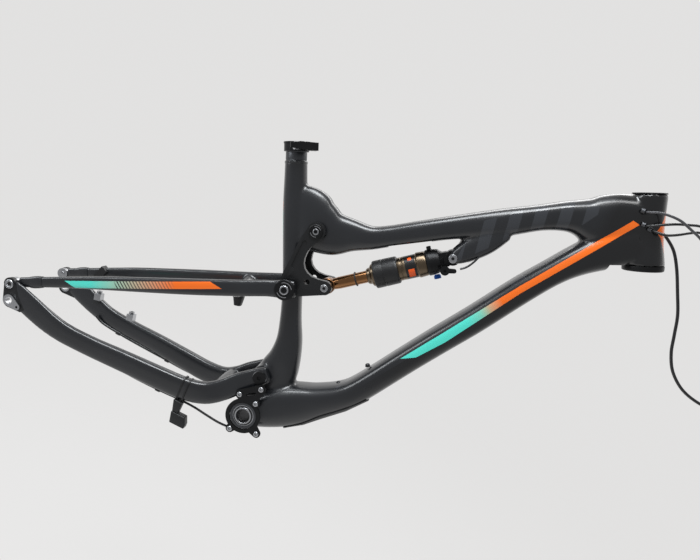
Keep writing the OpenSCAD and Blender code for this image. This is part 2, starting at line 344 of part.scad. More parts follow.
R_BRAKE_FRONT = [[462.5, 29, 557], [471, 33, 556], [484, 36, 554], [499, 37, 547], [515, 36, 534], [531, 34, 511], [548, 32, 480], [565, 30, 447], [575, 28, 416], [584, 26, 388], [600, 24, 362], [627, 22, 342], [661, 20, 334], [689, 18, 338], [715, 16, 352]];
ENDS = [[R_GEAR_FRONT, housing_d], [R_MECH_FRONT, housing_d], [R_REMOTE_FRONT, housing_d], [R_BRAKE_FRONT, hose_d]];
module shock_cable() color([0.12, 0.12, 0.125]) tube(R_SHOCK_CABLE, 1.6, 8, 3);
module rear_brake_hose() color([0.06, 0.06, 0.065]) tube(R_BRAKE_REAR, hose_d / 2, 10, 3);
module gear_housing_stay() color([0.06, 0.06, 0.065]) tube(R_GEAR_STAY, housing_d / 2, 10, 3);
module gear_housing_frame() color([0.06, 0.06, 0.065]) tube(R_GEAR_FRAME, housing_d / 2, 10, 3);
module gear_housing_front() color([0.3, 0.3, 0.31]) tube(R_GEAR_FRONT, housing_d / 2, 8, 3);
module front_gear_housing() color([0.06, 0.06, 0.065]) tube(R_MECH_FRONT, housing_d / 2, 8, 3);
module remote_housing() color([0.06, 0.06, 0.065]) tube(R_REMOTE_FRONT, housing_d / 2, 8, 3);
module brake_hose_front() color([0.06, 0.06, 0.065]) tube(R_BRAKE_FRONT, hose_d / 2, 8, 3);
// ferrules and the hose fitting on the free ends
module hose_end_fittings() color([0.2, 0.2, 0.21]) for (e = ENDS) let (n = len(e[0]), a = e[0][n - 1], d = unit(a - e[0][n - 2]))
  translate(a) rotate([0, acos(d[2]), atan2(d[1], d[0])]) { translate([0, 0, 0.05]) cylinder(d = e[1] + 2, h = 11, $fn = 32); translate([0, 0, 11]) cylinder(d = e[1] - 1, h = 3.5, $fn = 32); }

head_tube();
top_tube();
down_tube();
seat_tube();
bb_shell();
shock_bracket();
seat_tube_sleeve();
seat_clamp_collar();
seat_clamp_skewer();
seat_clamp_lever();
headset_cups();
bb_shell_sleeve();
bb_cups();
bb_bearing_outer_rings();
bb_bearing_inner_rings();
guide_mount_plate();
frame_small_bolts();
downtube_guard();
cable_ports();
main_pivot_axle();
main_pivot_bolts();
main_pivot_bearings();
rocker_pivot_axle();
rocker_pivot_caps();
rocker_pivot_bearings();
shock_front_bolt();
chainstays();
swingarm_yoke();
dropout_plates();
derailleur_hanger();
axle_nut_insert();
brake_mount();
brake_mount_bolts();
dropout_pivot_bolts();
stay_cable_clips();
wheel_sensor();
seatstays();
seatstay_tips();
seatstay_bridge();
bridge_bumper();
seatstay_hose_clamp();
rocker_link();
rocker_stay_bolts();
shock_rear_bolt();
shock_can();
shock_sleeve();
shock_head();
shock_rebound_knob();
shock_lockout_lever();
shock_shaft();
shock_travel_ring();
shock_cable();
rear_brake_hose();
gear_housing_stay();
gear_housing_frame();
gear_housing_front();
front_gear_housing();
remote_housing();
brake_hose_front();
hose_end_fittings();
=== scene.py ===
import json
import math
import bpy
import bmesh
from math import sin, cos, pi, radians, atan2, hypot
from mathutils import Vector, Matrix


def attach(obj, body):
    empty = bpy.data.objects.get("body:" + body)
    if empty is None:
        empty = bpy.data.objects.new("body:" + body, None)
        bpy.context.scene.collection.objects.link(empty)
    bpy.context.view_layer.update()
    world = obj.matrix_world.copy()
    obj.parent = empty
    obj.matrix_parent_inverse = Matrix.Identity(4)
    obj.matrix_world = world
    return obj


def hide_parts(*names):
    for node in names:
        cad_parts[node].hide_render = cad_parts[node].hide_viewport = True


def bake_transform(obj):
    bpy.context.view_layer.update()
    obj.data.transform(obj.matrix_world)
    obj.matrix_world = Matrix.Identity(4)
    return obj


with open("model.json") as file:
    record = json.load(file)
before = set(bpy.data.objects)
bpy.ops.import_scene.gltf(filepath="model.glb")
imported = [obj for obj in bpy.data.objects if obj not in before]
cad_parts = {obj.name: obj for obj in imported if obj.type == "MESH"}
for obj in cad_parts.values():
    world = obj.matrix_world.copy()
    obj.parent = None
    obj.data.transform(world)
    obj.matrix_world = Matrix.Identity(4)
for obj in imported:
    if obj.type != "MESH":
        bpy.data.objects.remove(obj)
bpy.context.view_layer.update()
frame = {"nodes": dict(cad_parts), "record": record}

SC = bpy.context.scene
COL = SC.collection

# ------------------------------------------------------------------ camera
cam_data = bpy.data.cameras.new("cam")
cam_data.sensor_width = 36.0
cam_data.sensor_fit = "HORIZONTAL"
cam_data.lens = 30.344
cam_data.clip_start, cam_data.clip_end = 0.02, 60
cam = bpy.data.objects.new("cam", cam_data)
COL.objects.link(cam)
R = (0.90271, 0.14810, 0.40396)
D = (0.42307, -0.13480, -0.89601)
F = (-0.07824, 0.97974, -0.18435)
cam.matrix_world = Matrix(((R[0], -D[0], -F[0], 0.143597), (R[1], -D[1], -F[1], -0.960767), (R[2], -D[2], -F[2], 0.459761), (0, 0, 0, 1)))
SC.camera = cam

# ------------------------------------------------------------------ material helpers
class N:
    """A small node builder on one material."""
    def __init__(self, name):
        self.m = bpy.data.materials.new(name)
        self.m.use_nodes = True
        self.t = self.m.node_tree
        self.b = self.t.nodes["Principled BSDF"]
        self.co = self.t.nodes.new("ShaderNodeTexCoord").outputs["Object"]
        s = self.t.nodes.new("ShaderNodeSeparateXYZ")
        self.t.links.new(self.co, s.inputs[0])
        self.x, self.y, self.z = s.outputs

    def put(self, sock, v):
        if isinstance(v, bpy.types.NodeSocket):
            self.t.links.new(v, sock)
        elif v is not None:
            sock.default_value = v

    def math(self, op, a, b=None, c=None, clamp=False):
        n = self.t.nodes.new("ShaderNodeMath")
        n.operation = op
        n.use_clamp = clamp
        for i, v in enumerate((a, b, c)):
            self.put(n.inputs[i], v)
        return n.outputs[0]

    def noise(self, scale, detail=3, rough=0.5, stretch=None):
        n = self.t.nodes.new("ShaderNodeTexNoise")
        n.inputs["Scale"].default_value = scale
        n.inputs["Detail"].default_value = detail
        n.inputs["Roughness"].default_value = rough
        v = self.co
        if stretch:
            mp = self.t.nodes.new("ShaderNodeMapping")
            mp.inputs["Scale"].default_value = stretch
            self.t.links.new(v, mp.inputs[0])
            v = mp.outputs[0]
        self.t.links.new(v, n.inputs["Vector"])
        return n.outputs["Fac"]

    def voronoi(self, scale):
        n = self.t.nodes.new("ShaderNodeTexVoronoi")
        n.inputs["Scale"].default_value = scale
        self.t.links.new(self.co, n.inputs["Vector"])
        return n.outputs["Distance"]

    def mix(self, f, a, b):
        n = self.t.nodes.new("ShaderNodeMix")
        n.data_type = "RGBA"
        self.put(n.inputs["Factor"], f)
        self.put(n.inputs["A"], a)
        self.put(n.inputs["B"], b)
        return n.outputs["Result"]

    def ramp(self, v, lo, hi, a, b):
        n = self.t.nodes.new("ShaderNodeMapRange")
        for k, x in zip(("Value", "From Min", "From Max", "To Min", "To Max"), (v, lo, hi, a, b)):
            self.put(n.inputs[k], x)
        return n.outputs[0]

    def bump(self, h, dist, strength=1.0):
        n = self.t.nodes.new("ShaderNodeBump")
        n.inputs["Strength"].default_value = strength
        n.inputs["Distance"].default_value = dist
        self.t.links.new(h, n.inputs["Height"])
        self.t.links.new(n.outputs[0], self.b.inputs["Normal"])

    def half(self, p, q, soft=0.35):
        """1 on the left of the line p to q in the XZ plane (mm), soft edge in mm."""
        dx, dz = q[0] - p[0], q[1] - p[1]
        L = hypot(dx, dz)
        nx, nz = -dz / L, dx / L
        c = -(nx * p[0] + nz * p[1])
        a = self.math("MULTIPLY_ADD", self.x, nx * 1000 / soft, c / soft + 0.5)
        return self.math("MULTIPLY_ADD", self.z, nz * 1000 / soft, a, clamp=True)

    def poly(self, pts, soft=0.35):
        """mask of a convex polygon in XZ, points in mm, anticlockwise with +X right and +Z up"""
        m = None
        for i in range(len(pts)):
            h = self.half(pts[i], pts[(i + 1) % len(pts)], soft)
            m = h if m is None else self.math("MULTIPLY", m, h)
        return m


def c4(c):
    return (c[0], c[1], c[2], 1)


def simple(name, base, rough, metal=0.0, var=0.25, grain=900, bump=0.00004, coat=0.0, coat_r=0.1, stretch=None, spec=0.5, fleck=0.12, sheen=0.0):
    n = N(name)
    big = n.noise(26, 3)
    fine = n.noise(grain, 4, 0.6, stretch)
    f = n.math("MULTIPLY_ADD", fine, fleck, n.ramp(big, 0.3, 0.7, 0.0, var))
    dark = tuple(v * 0.72 for v in base)
    lite = tuple(min(1, v * 1.22 + 0.003) for v in base)
    n.put(n.b.inputs["Base Color"], n.mix(f, c4(dark), c4(lite)))
    n.put(n.b.inputs["Roughness"], n.ramp(n.math("ADD", fine, big), 0.6, 1.4, max(0.04, rough - 0.07), rough + 0.08))
    n.b.inputs["Metallic"].default_value = metal
    n.b.inputs["Specular IOR Level"].default_value = spec
    if coat:
        n.b.inputs["Coat Weight"].default_value = coat
        n.b.inputs["Coat Roughness"].default_value = coat_r
    if sheen:
        n.b.inputs["Sheen Weight"].default_value = sheen
    n.bump(fine, bump)
    return n.m


ORANGE = (1.0, 0.17, 0.004)
TEAL = (0.09, 0.80, 0.66)


def carbon(name, kind):
    n = N(name)
    big = n.noise(9, 3)
    fine = n.noise(1500, 3, 0.6)
    # faint unidirectional fibre look under the lacquer
    fib = n.noise(300, 3, 0.55, (0.35, 1.0, 3.2))
    v = n.math("MULTIPLY_ADD", fib, 0.5, n.ramp(big, 0.3, 0.7, 0.0, 0.5))
    grey = n.mix(v, (0.0060, 0.0068, 0.0086, 1), (0.0115, 0.0128, 0.0158, 1))
    black = n.mix(v, (0.0020, 0.0021, 0.0025, 1), (0.0042, 0.0044, 0.0052, 1))
    rough = n.ramp(big, 0.3, 0.7, 0.30, 0.38)
    col = grey
    if kind == "front":
        # the lower half of the down tube and the head are gloss black
        low = n.half((425, 547), (205, 204), 1.5)
        dark = n.math("MAXIMUM", n.math("MULTIPLY", low, n.ramp(n.x, 0.14, 0.21, 0.0, 1.0)), n.ramp(n.x, 0.372, 0.392, 0.0, 1.0))
        col = n.mix(dark, col, black)
        # tone on tone slanted bars on the top tube
        s = n.math("MULTIPLY_ADD", n.x, 0.82, n.math("MULTIPLY", n.z, 0.15))
        w = n.math("FRACT", n.math("MULTIPLY", s, 34.0))
        bars = n.math("MULTIPLY", n.ramp(w, 0.48, 0.50, 0.0, 1.0), n.ramp(w, 0.985, 1.0, 1.0, 0.0))
        zone = n.math("MAXIMUM", n.poly([(206, 376), (264, 444), (264, 494), (214, 452)], 0.6), n.poly([(262, 442), (352, 506), (376, 548), (330, 545), (262, 492)], 0.6))
        side = n.math("GREATER_THAN", n.math("ABSOLUTE", n.y), 0.0165)
        bars = n.math("MULTIPLY", n.math("MULTIPLY", bars, zone), side)
        col = n.mix(n.math("MULTIPLY", bars, 0.9), col, (0.034, 0.037, 0.043, 1))
        # dashes along the upper side of the down tube
        t = n.math("FRACT", n.math("MULTIPLY", n.math("MULTIPLY_ADD", n.x, 0.55, n.math("MULTIPLY", n.z, 0.84)), 21.0))
        dash = n.math("MULTIPLY", n.ramp(t, 0.25, 0.27, 0.0, 1.0), n.ramp(t, 0.80, 0.82, 1.0, 0.0))
        dz = n.poly([(122, 104), (318, 405), (305, 412), (112, 112)], 0.6)
        dash = n.math("MULTIPLY", n.math("MULTIPLY", dash, dz), side)
        col = n.mix(n.math("MULTIPLY", dash, 0.85), col, (0.030, 0.032, 0.038, 1))
        # main stripe
        m = n.poly([(196.2, 201.2), (218.2, 214.9), (249.6, 258.6), (242.3, 274.1)], 0.4)
        m = n.math("MAXIMUM", m, n.poly([(241.8, 273.3), (249.1, 257.8), (319.5, 379.3), (314.3, 389.8)], 0.4))
        m = n.math("MAXIMUM", m, n.poly([(313.8, 389.0), (319.0, 378.5), (429.7, 545.5), (418.8, 547.5)], 0.4))
        m = n.math("MULTIPLY", m, n.math("GREATER_THAN", n.math("ABSOLUTE", n.y), 0.012))
        u = n.math("MULTIPLY_ADD", n.x, 0.545, n.math("MULTIPLY", n.z, 0.838))
        g = n.ramp(u, 0.422, 0.462, 0.0, 1.0)
        mid = n.mix(g, (0.30, 0.62, 0.45, 1), c4(ORANGE))
        strip = n.mix(n.ramp(u, 0.400, 0.440, 0.0, 1.0), c4(TEAL), mid)
        col = n.mix(m, col, strip)
        # orange band on the front of the head tube
        hx = n.math("ADD", n.math("MULTIPLY", n.math("SUBTRACT", n.x, 0.428), 0.92388), n.math("MULTIPLY", n.math("SUBTRACT", n.z, 0.597), 0.38268))
        hs = n.math("ADD", n.math("MULTIPLY", n.math("SUBTRACT", n.x, 0.428), 0.38268), n.math("MULTIPLY", n.math("SUBTRACT", n.z, 0.597), -0.92388))
        ay = n.math("ABSOLUTE", n.y)
        wy = n.math("MULTIPLY_ADD", n.math("ABSOLUTE", n.math("SUBTRACT", hs, 0.058)), -0.36, 0.0240)
        hm = n.math("MULTIPLY", n.math("GREATER_THAN", hx, 0.004), n.math("LESS_THAN", ay, wy))
        hm = n.math("MULTIPLY", hm, n.math("MULTIPLY", n.math("GREATER_THAN", hs, 0.026), n.math("LESS_THAN", hs, 0.090)))
        col = n.mix(hm, col, c4(ORANGE))
        # teal and orange flash on the back of the seat tube
        bk = n.math("LESS_THAN", n.math("SUBTRACT", n.x, n.math("MULTIPLY_ADD", n.z, -0.3987, 0.0737)), -0.008)
        bz = n.math("MULTIPLY", n.ramp(n.z, 0.300, 0.301, 0.0, 1.0), n.ramp(n.z, 0.352, 0.353, 1.0, 0.0))
        col = n.mix(n.math("MULTIPLY", n.math("MULTIPLY", bk, bz), n.math("LESS_THAN", ay, 0.009)), col, n.mix(n.ramp(n.z, 0.335, 0.345, 0, 1), c4(TEAL), c4(ORANGE)))
        rough = n.math("MULTIPLY_ADD", n.math("MAXIMUM", n.math("MAXIMUM", bars, dash), dark), -0.10, rough)
    if kind == "stay":
        m = n.poly([(-361, 86), (-340, 82.5), (-168, 161.5), (-112, 187.5), (-134, 190.5)], 0.4)
        m = n.math("MULTIPLY", m, n.math("LESS_THAN", n.y, 0.0))
        u = n.math("MULTIPLY_ADD", n.x, 0.908, n.math("MULTIPLY", n.z, 0.418))
        hatch = n.math("FRACT", n.math("MULTIPLY", n.math("MULTIPLY_ADD", n.x, 0.62, n.math("MULTIPLY", n.z, 0.78)), 205.0))
        orange_part = n.ramp(u, -0.210, -0.092, 0.0, 1.0)
        fade = n.ramp(u, -0.245, -0.100, 0.0, 1.0)
        base = n.mix(fade, c4(TEAL), c4(ORANGE))
        zone = n.math("MULTIPLY", n.ramp(u, -0.205, -0.200, 0.0, 1.0), n.ramp(u, -0.110, -0.100, 1.0, 0.0))
        cut = n.math("MULTIPLY", n.math("MULTIPLY", n.ramp(hatch, 0.56, 0.62, 0.0, 1.0), zone), n.ramp(u, -0.205, -0.105, 1.0, 0.45))
        base = n.mix(cut, base, (0.012, 0.013, 0.014, 1))
        col = n.mix(m, col, base)
    n.put(n.b.inputs["Base Color"], col)
    n.put(n.b.inputs["Roughness"], rough)
    n.b.inputs["Specular IOR Level"].default_value = 0.55
    n.b.inputs["Coat Weight"].default_value = 0.65
    n.b.inputs["Coat Roughness"].default_value = 0.17
    n.bump(n.math("MULTIPLY_ADD", fine, 0.25, n.noise(55, 2)), 0.00012, 0.5)
    return n.m


M = {
    "front": carbon("carbon_front", "front"),
    "stay": carbon("carbon_stay", "stay"),
    "plain": carbon("carbon_plain", "plain"),
    "black_metal": simple("black_anodised", (0.012, 0.0122, 0.013), 0.38, 0.55, grain=2600, bump=0.00003),
    "link": simple("black_forged", (0.016, 0.0165, 0.0175), 0.36, 0.35, grain=2200, bump=0.00004, coat=0.25, coat_r=0.25),
    "silver_metal": simple("machined_aluminium", (0.66, 0.67, 0.69), 0.28, 1.0, grain=500, bump=0.00003, stretch=(0.2, 5, 0.2)),
    "grey_metal": simple("grey_anodised", (0.10, 0.103, 0.11), 0.34, 0.8, grain=2400),
    "steel": simple("bolt_steel", (0.60, 0.61, 0.63), 0.24, 1.0, grain=700, bump=0.00003, stretch=(3, 0.3, 3)),
    "bearing_steel": simple("ground_steel", (0.56, 0.57, 0.59), 0.17, 1.0, grain=900, bump=0.00002, stretch=(0.3, 6, 0.3)),
    "rubber": simple("black_rubber", (0.010, 0.010, 0.0105), 0.62, 0, grain=1800, bump=0.00010, sheen=0.15),
    "black_plastic": simple("black_plastic", (0.012, 0.012, 0.013), 0.42, 0, grain=1600, bump=0.00007),
    "bronze_shaft": simple("bronze_anodised", (0.40, 0.195, 0.085), 0.18, 1.0, grain=900, bump=0.00002, stretch=(0.5, 4, 4)),
    "champagne_can": simple("champagne_anodised", (0.205, 0.155, 0.105), 0.27, 1.0, grain=1500, bump=0.00002),
    "blue_metal": simple("blue_anodised", (0.02, 0.10, 0.42), 0.28, 0.85, grain=1800),
    "black_housing": simple("housing_black", (0.012, 0.012, 0.013), 0.34, 0, grain=1400, bump=0.00003, coat=0.3),
    "grey_housing": simple("housing_grey", (0.085, 0.085, 0.092), 0.36, 0, grain=1400, bump=0.00003, coat=0.3),
    "ferrule_metal": simple("ferrule_dark", (0.05, 0.05, 0.053), 0.30, 0.85, grain=1800),
    # near-black material for the plugs in the bolt sockets: painted shade in the recesses
    "dark": simple("painted_recess_shade", (0.004, 0.004, 0.004), 0.6, 0, grain=1200),
    "orange": simple("orange_print", (1.0, 0.14, 0.015), 0.36, 0, grain=1500, fleck=0.05, var=0.08),
}

# carried-over CAD nodes take a better material by their record slot
node_slot = {s["node"]: s["material_slot"] for s in frame["record"]["subparts"]}
CADN = frame["nodes"]
for name, ob in CADN.items():
    s = node_slot[name]
    mat = M["plain"] if s == "carbon" else M[s]
    for ms in ob.material_slots:
        ms.material = mat
    if not ob.material_slots:
        ob.data.materials.append(mat)


# ------------------------------------------------------------------ mesh helpers (all lengths in mm until link())
def obj_from(name, verts, faces, mat=None):
    me = bpy.data.meshes.new(name)
    me.from_pydata([(v[0] / 1000, v[1] / 1000, v[2] / 1000) for v in verts], [], faces)
    me.validate()
    o = bpy.data.objects.new(name, me)
    COL.objects.link(o)
    if mat:
        me.materials.append(M[mat])
    return o


def apply(o):
    dg = bpy.context.evaluated_depsgraph_get()
    dg.update()
    me = bpy.data.meshes.new_from_object(o.evaluated_get(dg), depsgraph=dg)
    old = o.data
    o.modifiers.clear()
    o.data = me
    bpy.data.meshes.remove(old)
    return o


def boolean(o, cutters, op="DIFFERENCE", solver="MANIFOLD"):
    for c in cutters:
        m = o.modifiers.new("b", "BOOLEAN")
        m.operation, m.object, m.solver = op, c, solver
    bpy.context.view_layer.update()
    apply(o)
    for c in cutters:
        bpy.data.objects.remove(c, do_unlink=True)
    return o


def bevel(o, w=0.5, seg=2, ang=32):
    m = o.modifiers.new("v", "BEVEL")
    m.width, m.segments, m.limit_method, m.angle_limit = w / 1000, seg, "ANGLE", radians(ang)
    m.harden_normals = False
    bpy.context.view_layer.update()
    return apply(o)


def smooth(o, ang=38):
    for p in o.data.polygons:
        p.use_smooth = True
    o.data.set_sharp_from_angle(angle=radians(ang))
    return o


def done(o, body, mat, nodes=(), ang=38):
    o.data.materials.clear()
    o.data.materials.append(M[mat])
    smooth(o, ang)
    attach(o, body)
    if nodes:
        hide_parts(*nodes)
    return o


def spow(c, e):
    return math.copysign(abs(c) ** (2 / e), c)


def cr(a, b, c, d, t):
    return [0.5 * (2 * b[i] + (c[i] - a[i]) * t + (2 * a[i] - 5 * b[i] + 4 * c[i] - d[i]) * t * t + (3 * b[i] - a[i] - 3 * c[i] + d[i]) * t ** 3) for i in range(len(a))]


def fine(st, k):
    n, out = len(st), []
    for i in range(n - 1):
        for j in range(k):
            out.append(cr(st[max(i - 1, 0)], st[i], st[i + 1], st[min(i + 2, n - 1)], j / k))
    out.append(list(st[-1]))
    return out


def sweep(name, st, n=64, k=6, sq=0.0, my=False):
    f = fine(st, k)
    if my:
        f = [[s[0], -s[1], s[2], s[3], s[4], s[5]] for s in f]
    m = len(f)
    V, Fc = [], []
    for i, s in enumerate(f):
        a, b = Vector(f[min(i + 1, m - 1)][:3]), Vector(f[max(i - 1, 0)][:3])
        t = (a - b).normalized()
        w = Vector((1, 0, 0)) if abs(t.y) > 0.8 else Vector((0, 1, 0))
        bb = (w - t * t.dot(w)).normalized()
        mm = t.cross(bb)
        e = s[5] + sq
        for j in range(n):
            q = 2 * pi * j / n
            V.append(Vector(s[:3]) + mm * (s[3] * spow(cos(q), e)) + bb * (s[4] * spow(sin(q), e)))
    for i in range(m - 1):
        for j in range(n):
            a, b = i * n + j, i * n + (j + 1) % n
            Fc.append((a, b, b + n, a + n))
    Fc.append(tuple(range(n - 1, -1, -1)))
    Fc.append(tuple((m - 1) * n + j for j in range(n)))
    o = obj_from(name, V, Fc)
    fix_normals(o)
    return o


def fix_normals(o):
    bm = bmesh.new()
    bm.from_mesh(o.data)
    bmesh.ops.recalc_face_normals(bm, faces=bm.faces)
    bm.to_mesh(o.data)
    bm.free()


def frame_of(axis):
    a = Vector(axis).normalized()
    u = Vector((0, 1, 0)) if abs(a.y) < 0.9 else Vector((1, 0, 0))
    u = (u - a * a.dot(u)).normalized()
    return a, u, a.cross(u)


def chamfer(prof, c=0.5, seg=2):
    """round the corners of a closed profile of (s, r)"""
    out, n = [], len(prof)
    for i in range(n):
        p0, p1, p2 = (Vector(prof[(i + d) % n]) for d in (-1, 0, 1))
        if p1[1] < 1e-6:
            out.append(tuple(p1))
            continue
        a, b = p0 - p1, p2 - p1
        d = min(c, a.length * 0.42, b.length * 0.42)
        if d < 0.02:
            out.append(tuple(p1))
            continue
        A, B = p1 + a.normalized() * d, p1 + b.normalized() * d
        for k in range(seg + 1):
            t = k / seg
            out.append(tuple(A * (1 - t) ** 2 + p1 * 2 * t * (1 - t) + B * t * t))
    return out


def lathe(name, p, axis, prof, n=96, c=0.5, seg=2):
    a, u, w = frame_of(axis)
    pr = chamfer(prof, c, seg)
    V, Fc, idx = [], [], []
    for s, r in pr:
        if r < 1e-6:
            idx.append([len(V)] * n)
            V.append(Vector(p) + a * s)
        else:
            idx.append(list(range(len(V), len(V) + n)))
            for j in range(n):
                q = 2 * pi * j / n
                V.append(Vector(p) + a * s + u * (r * cos(q)) + w * (r * sin(q)))
    m = len(pr)
    for i in range(m):
        A, B = idx[i], idx[(i + 1) % m]
        for j in range(n):
            f = [A[j], A[(j + 1) % n], B[(j + 1) % n], B[j]]
            g = [x for k, x in enumerate(f) if x not in f[:k]]
            if len(g) > 2:
                Fc.append(g)
    o = obj_from(name, V, Fc)
    fix_normals(o)
    return o


def ycyl(name, c, y0, y1, d, n=64):
    return lathe(name, (c[0], 0, c[1]), (0, 1, 0), [(y0, 0), (y0, d / 2), (y1, d / 2), (y1, 0)], n, 0.0)


def prism(name, pts, y0, y1):
    n = len(pts)
    V = [(p[0], y0, p[1]) for p in pts] + [(p[0], y1, p[1]) for p in pts]
    Fc = [tuple(range(n)), tuple(range(2 * n - 1, n - 1, -1))] + [(i, (i + 1) % n, n + (i + 1) % n, n + i) for i in range(n)]
    o = obj_from(name, V, Fc)
    fix_normals(o)
    return o


def mirror_y(o):
    d = o.copy()
    d.data = o.data.copy()
    COL.objects.link(d)
    for v in d.data.vertices:
        v.co.y = -v.co.y
    d.data.flip_normals()
    return d


def join(name, obs):
    bm = bmesh.new()
    for o in obs:
        t = o.data.copy()
        t.transform(o.matrix_world)
        bm.from_mesh(t)
        bpy.data.meshes.remove(t)
    me = bpy.data.meshes.new(name)
    bm.to_mesh(me)
    bm.free()
    for o in obs:
        bpy.data.objects.remove(o, do_unlink=True)
    j = bpy.data.objects.new(name, me)
    COL.objects.link(j)
    return j


def remesh(o, voxel, it, fac=0.5):
    m = o.modifiers.new("r", "REMESH")
    m.mode, m.voxel_size = "VOXEL", voxel / 1000
    m.adaptivity = 0
    s = o.modifiers.new("s", "SMOOTH")
    s.factor, s.iterations = fac, it
    bpy.context.view_layer.update()
    apply(o)
    # keep the largest shell
    bm = bmesh.new()
    bm.from_mesh(o.data)
    seen, best = set(), []
    for v in bm.verts:
        if v in seen:
            continue
        st, comp = [v], []
        seen.add(v)
        while st:
            x = st.pop()
            comp.append(x)
            for e in x.link_edges:
                y = e.other_vert(x)
                if y not in seen:
                    seen.add(y)
                    st.append(y)
        best.append(comp)
    big = max(len(c) for c in best)
    dead = [v for c in best if len(c) < big * 0.2 for v in c]
    bmesh.ops.delete(bm, geom=dead, context="VERTS")
    bm.to_mesh(o.data)
    bm.free()
    return o


Y = (0, 1, 0)
PM, PD, PU, PL, PS, PF, AX = (-1, 70), (-445, 42), (-12, 333), (-19, 228), (37, 255), (203, 384), (-436, 16)
ST, SD = Vector((-104.6, 0, 447.3)), Vector((0.3703, 0, -0.9289)).normalized()
HT, HD = Vector((428, 0, 597)), Vector((cos(radians(67.5)), 0, -sin(radians(67.5))))
SL = hypot(PF[0] - PS[0], PF[1] - PS[1])
SX = Vector(((PF[0] - PS[0]) / SL, 0, (PF[1] - PS[1]) / SL))
SZ = Vector((-SX.z, 0, SX.x))
SP = Vector((PS[0], 0, PS[1]))

TOP = [[-52, 0, 337, 57, 17, 2.4], [-36, 0, 342, 53, 20, 2.6], [-14, 0, 339, 45, 20.6, 2.8], [12, 0, 339, 37, 20, 2.6], [39, 0, 348, 27.5, 19, 2.5], [71, 0, 358, 19.6, 20, 2.6],
       [97, 0, 373, 17.5, 21, 2.7], [136, 0, 398, 18, 22, 2.8], [172, 0, 421, 18.5, 23, 2.8], [212, 0, 445, 20, 24, 2.8], [252, 0, 468, 22, 25, 2.8],
       [298, 0, 497, 20.5, 26, 2.7], [330, 0, 514, 23.5, 26.5, 2.6], [350, 0, 521, 28, 27, 2.5], [372, 0, 526, 37, 26.8, 2.4], [404, 0, 539, 42, 26, 2.3], [436, 0, 554, 38, 24, 2.2]]
DOWN = [[-2, 0, -2, 25, 44, 2.6], [22, 0, 12, 32, 42, 2.6], [50, 0, 31, 37, 37, 2.6], [78, 0, 48, 34.4, 33, 2.6], [104, 0, 66.4, 28, 31, 2.6], [136, 0, 92, 23.5, 30, 2.6],
        [160, 0, 121, 22, 29, 2.7], [208, 0, 199, 21.8, 28, 2.7], [240, 0, 250, 22, 28, 2.7], [278, 0, 309, 22, 28, 2.7], [322, 0, 382, 21.5, 28, 2.7],
        [352, 0, 427, 21, 28, 2.6], [377, 0, 459, 24, 28, 2.5], [408, 0, 491, 30, 28, 2.4], [444, 0, 522, 34, 25.5, 2.2]]
SEAT = [[-93.7, 0, 420.1, 18.3, 18.2, 2], [-84, 0, 396, 19, 18.5, 2], [-66, 0, 351, 20, 19, 2.1], [-40, 0, 286, 18.5, 19, 2.2], [-22, 0, 240, 17, 19, 2.2], [-9, 0, 205, 17, 19, 2.2],
        [3, 0, 172, 18.5, 20, 2.2], [14, 0, 141, 22, 22, 2.3], [19, 0, 112, 27, 24, 2.4], [19, 0, 86, 33, 24, 2.4], [16, 0, 50, 36, 24, 2.4], [10, 0, 10, 28, 24, 2.4]]
CHAIN = [[10, -32.4, 80, 13, 5.6, 2.4], [-1, -32.5, 70, 15.8, 6, 2.6], [-15, -33.5, 58, 16.6, 6.4, 2.6], [-31, -36, 43, 18, 7.5, 2.6], [-50, -40, 23, 18.5, 8.5, 2.6], [-75, -45, 6, 19, 9.5, 2.6], [-110, -50, -1, 19.5, 10, 2.6],
         [-160, -56, -1, 19, 10, 2.6], [-220, -62, 0, 18, 9.5, 2.6], [-280, -67, 0, 17, 8.5, 2.6], [-330, -70, 2, 17.5, 7.5, 2.6], [-365, -72.5, 9, 19, 6.2, 2.6], [-400, -74, 20, 20, 4.6, 2.6], [-430, -74.6, 30, 19, 3.8, 2.8], [-443, -74.7, 34, 16, 3.7, 2.8]]
STAY = [[-4, -43.2, 235, 13, 5.2, 2.4], [-19, -43.3, 228, 16, 5.7, 2.6], [-34, -44, 222, 14, 5.9, 2.6], [-50, -46, 216, 13.5, 6, 2.6], [-90, -50.5, 198, 13.5, 7, 2.6], [-146, -56, 174, 13.5, 7.5, 2.6], [-201, -60, 151, 13, 7.5, 2.6], [-299, -64, 110, 11.5, 6, 2.6], [-347, -65.2, 89, 10, 5, 2.6], [-405, -66, 62, 9, 4.3, 2.6], [-436, -66.2, 47, 9, 4, 2.6]]

VOX = 2.4

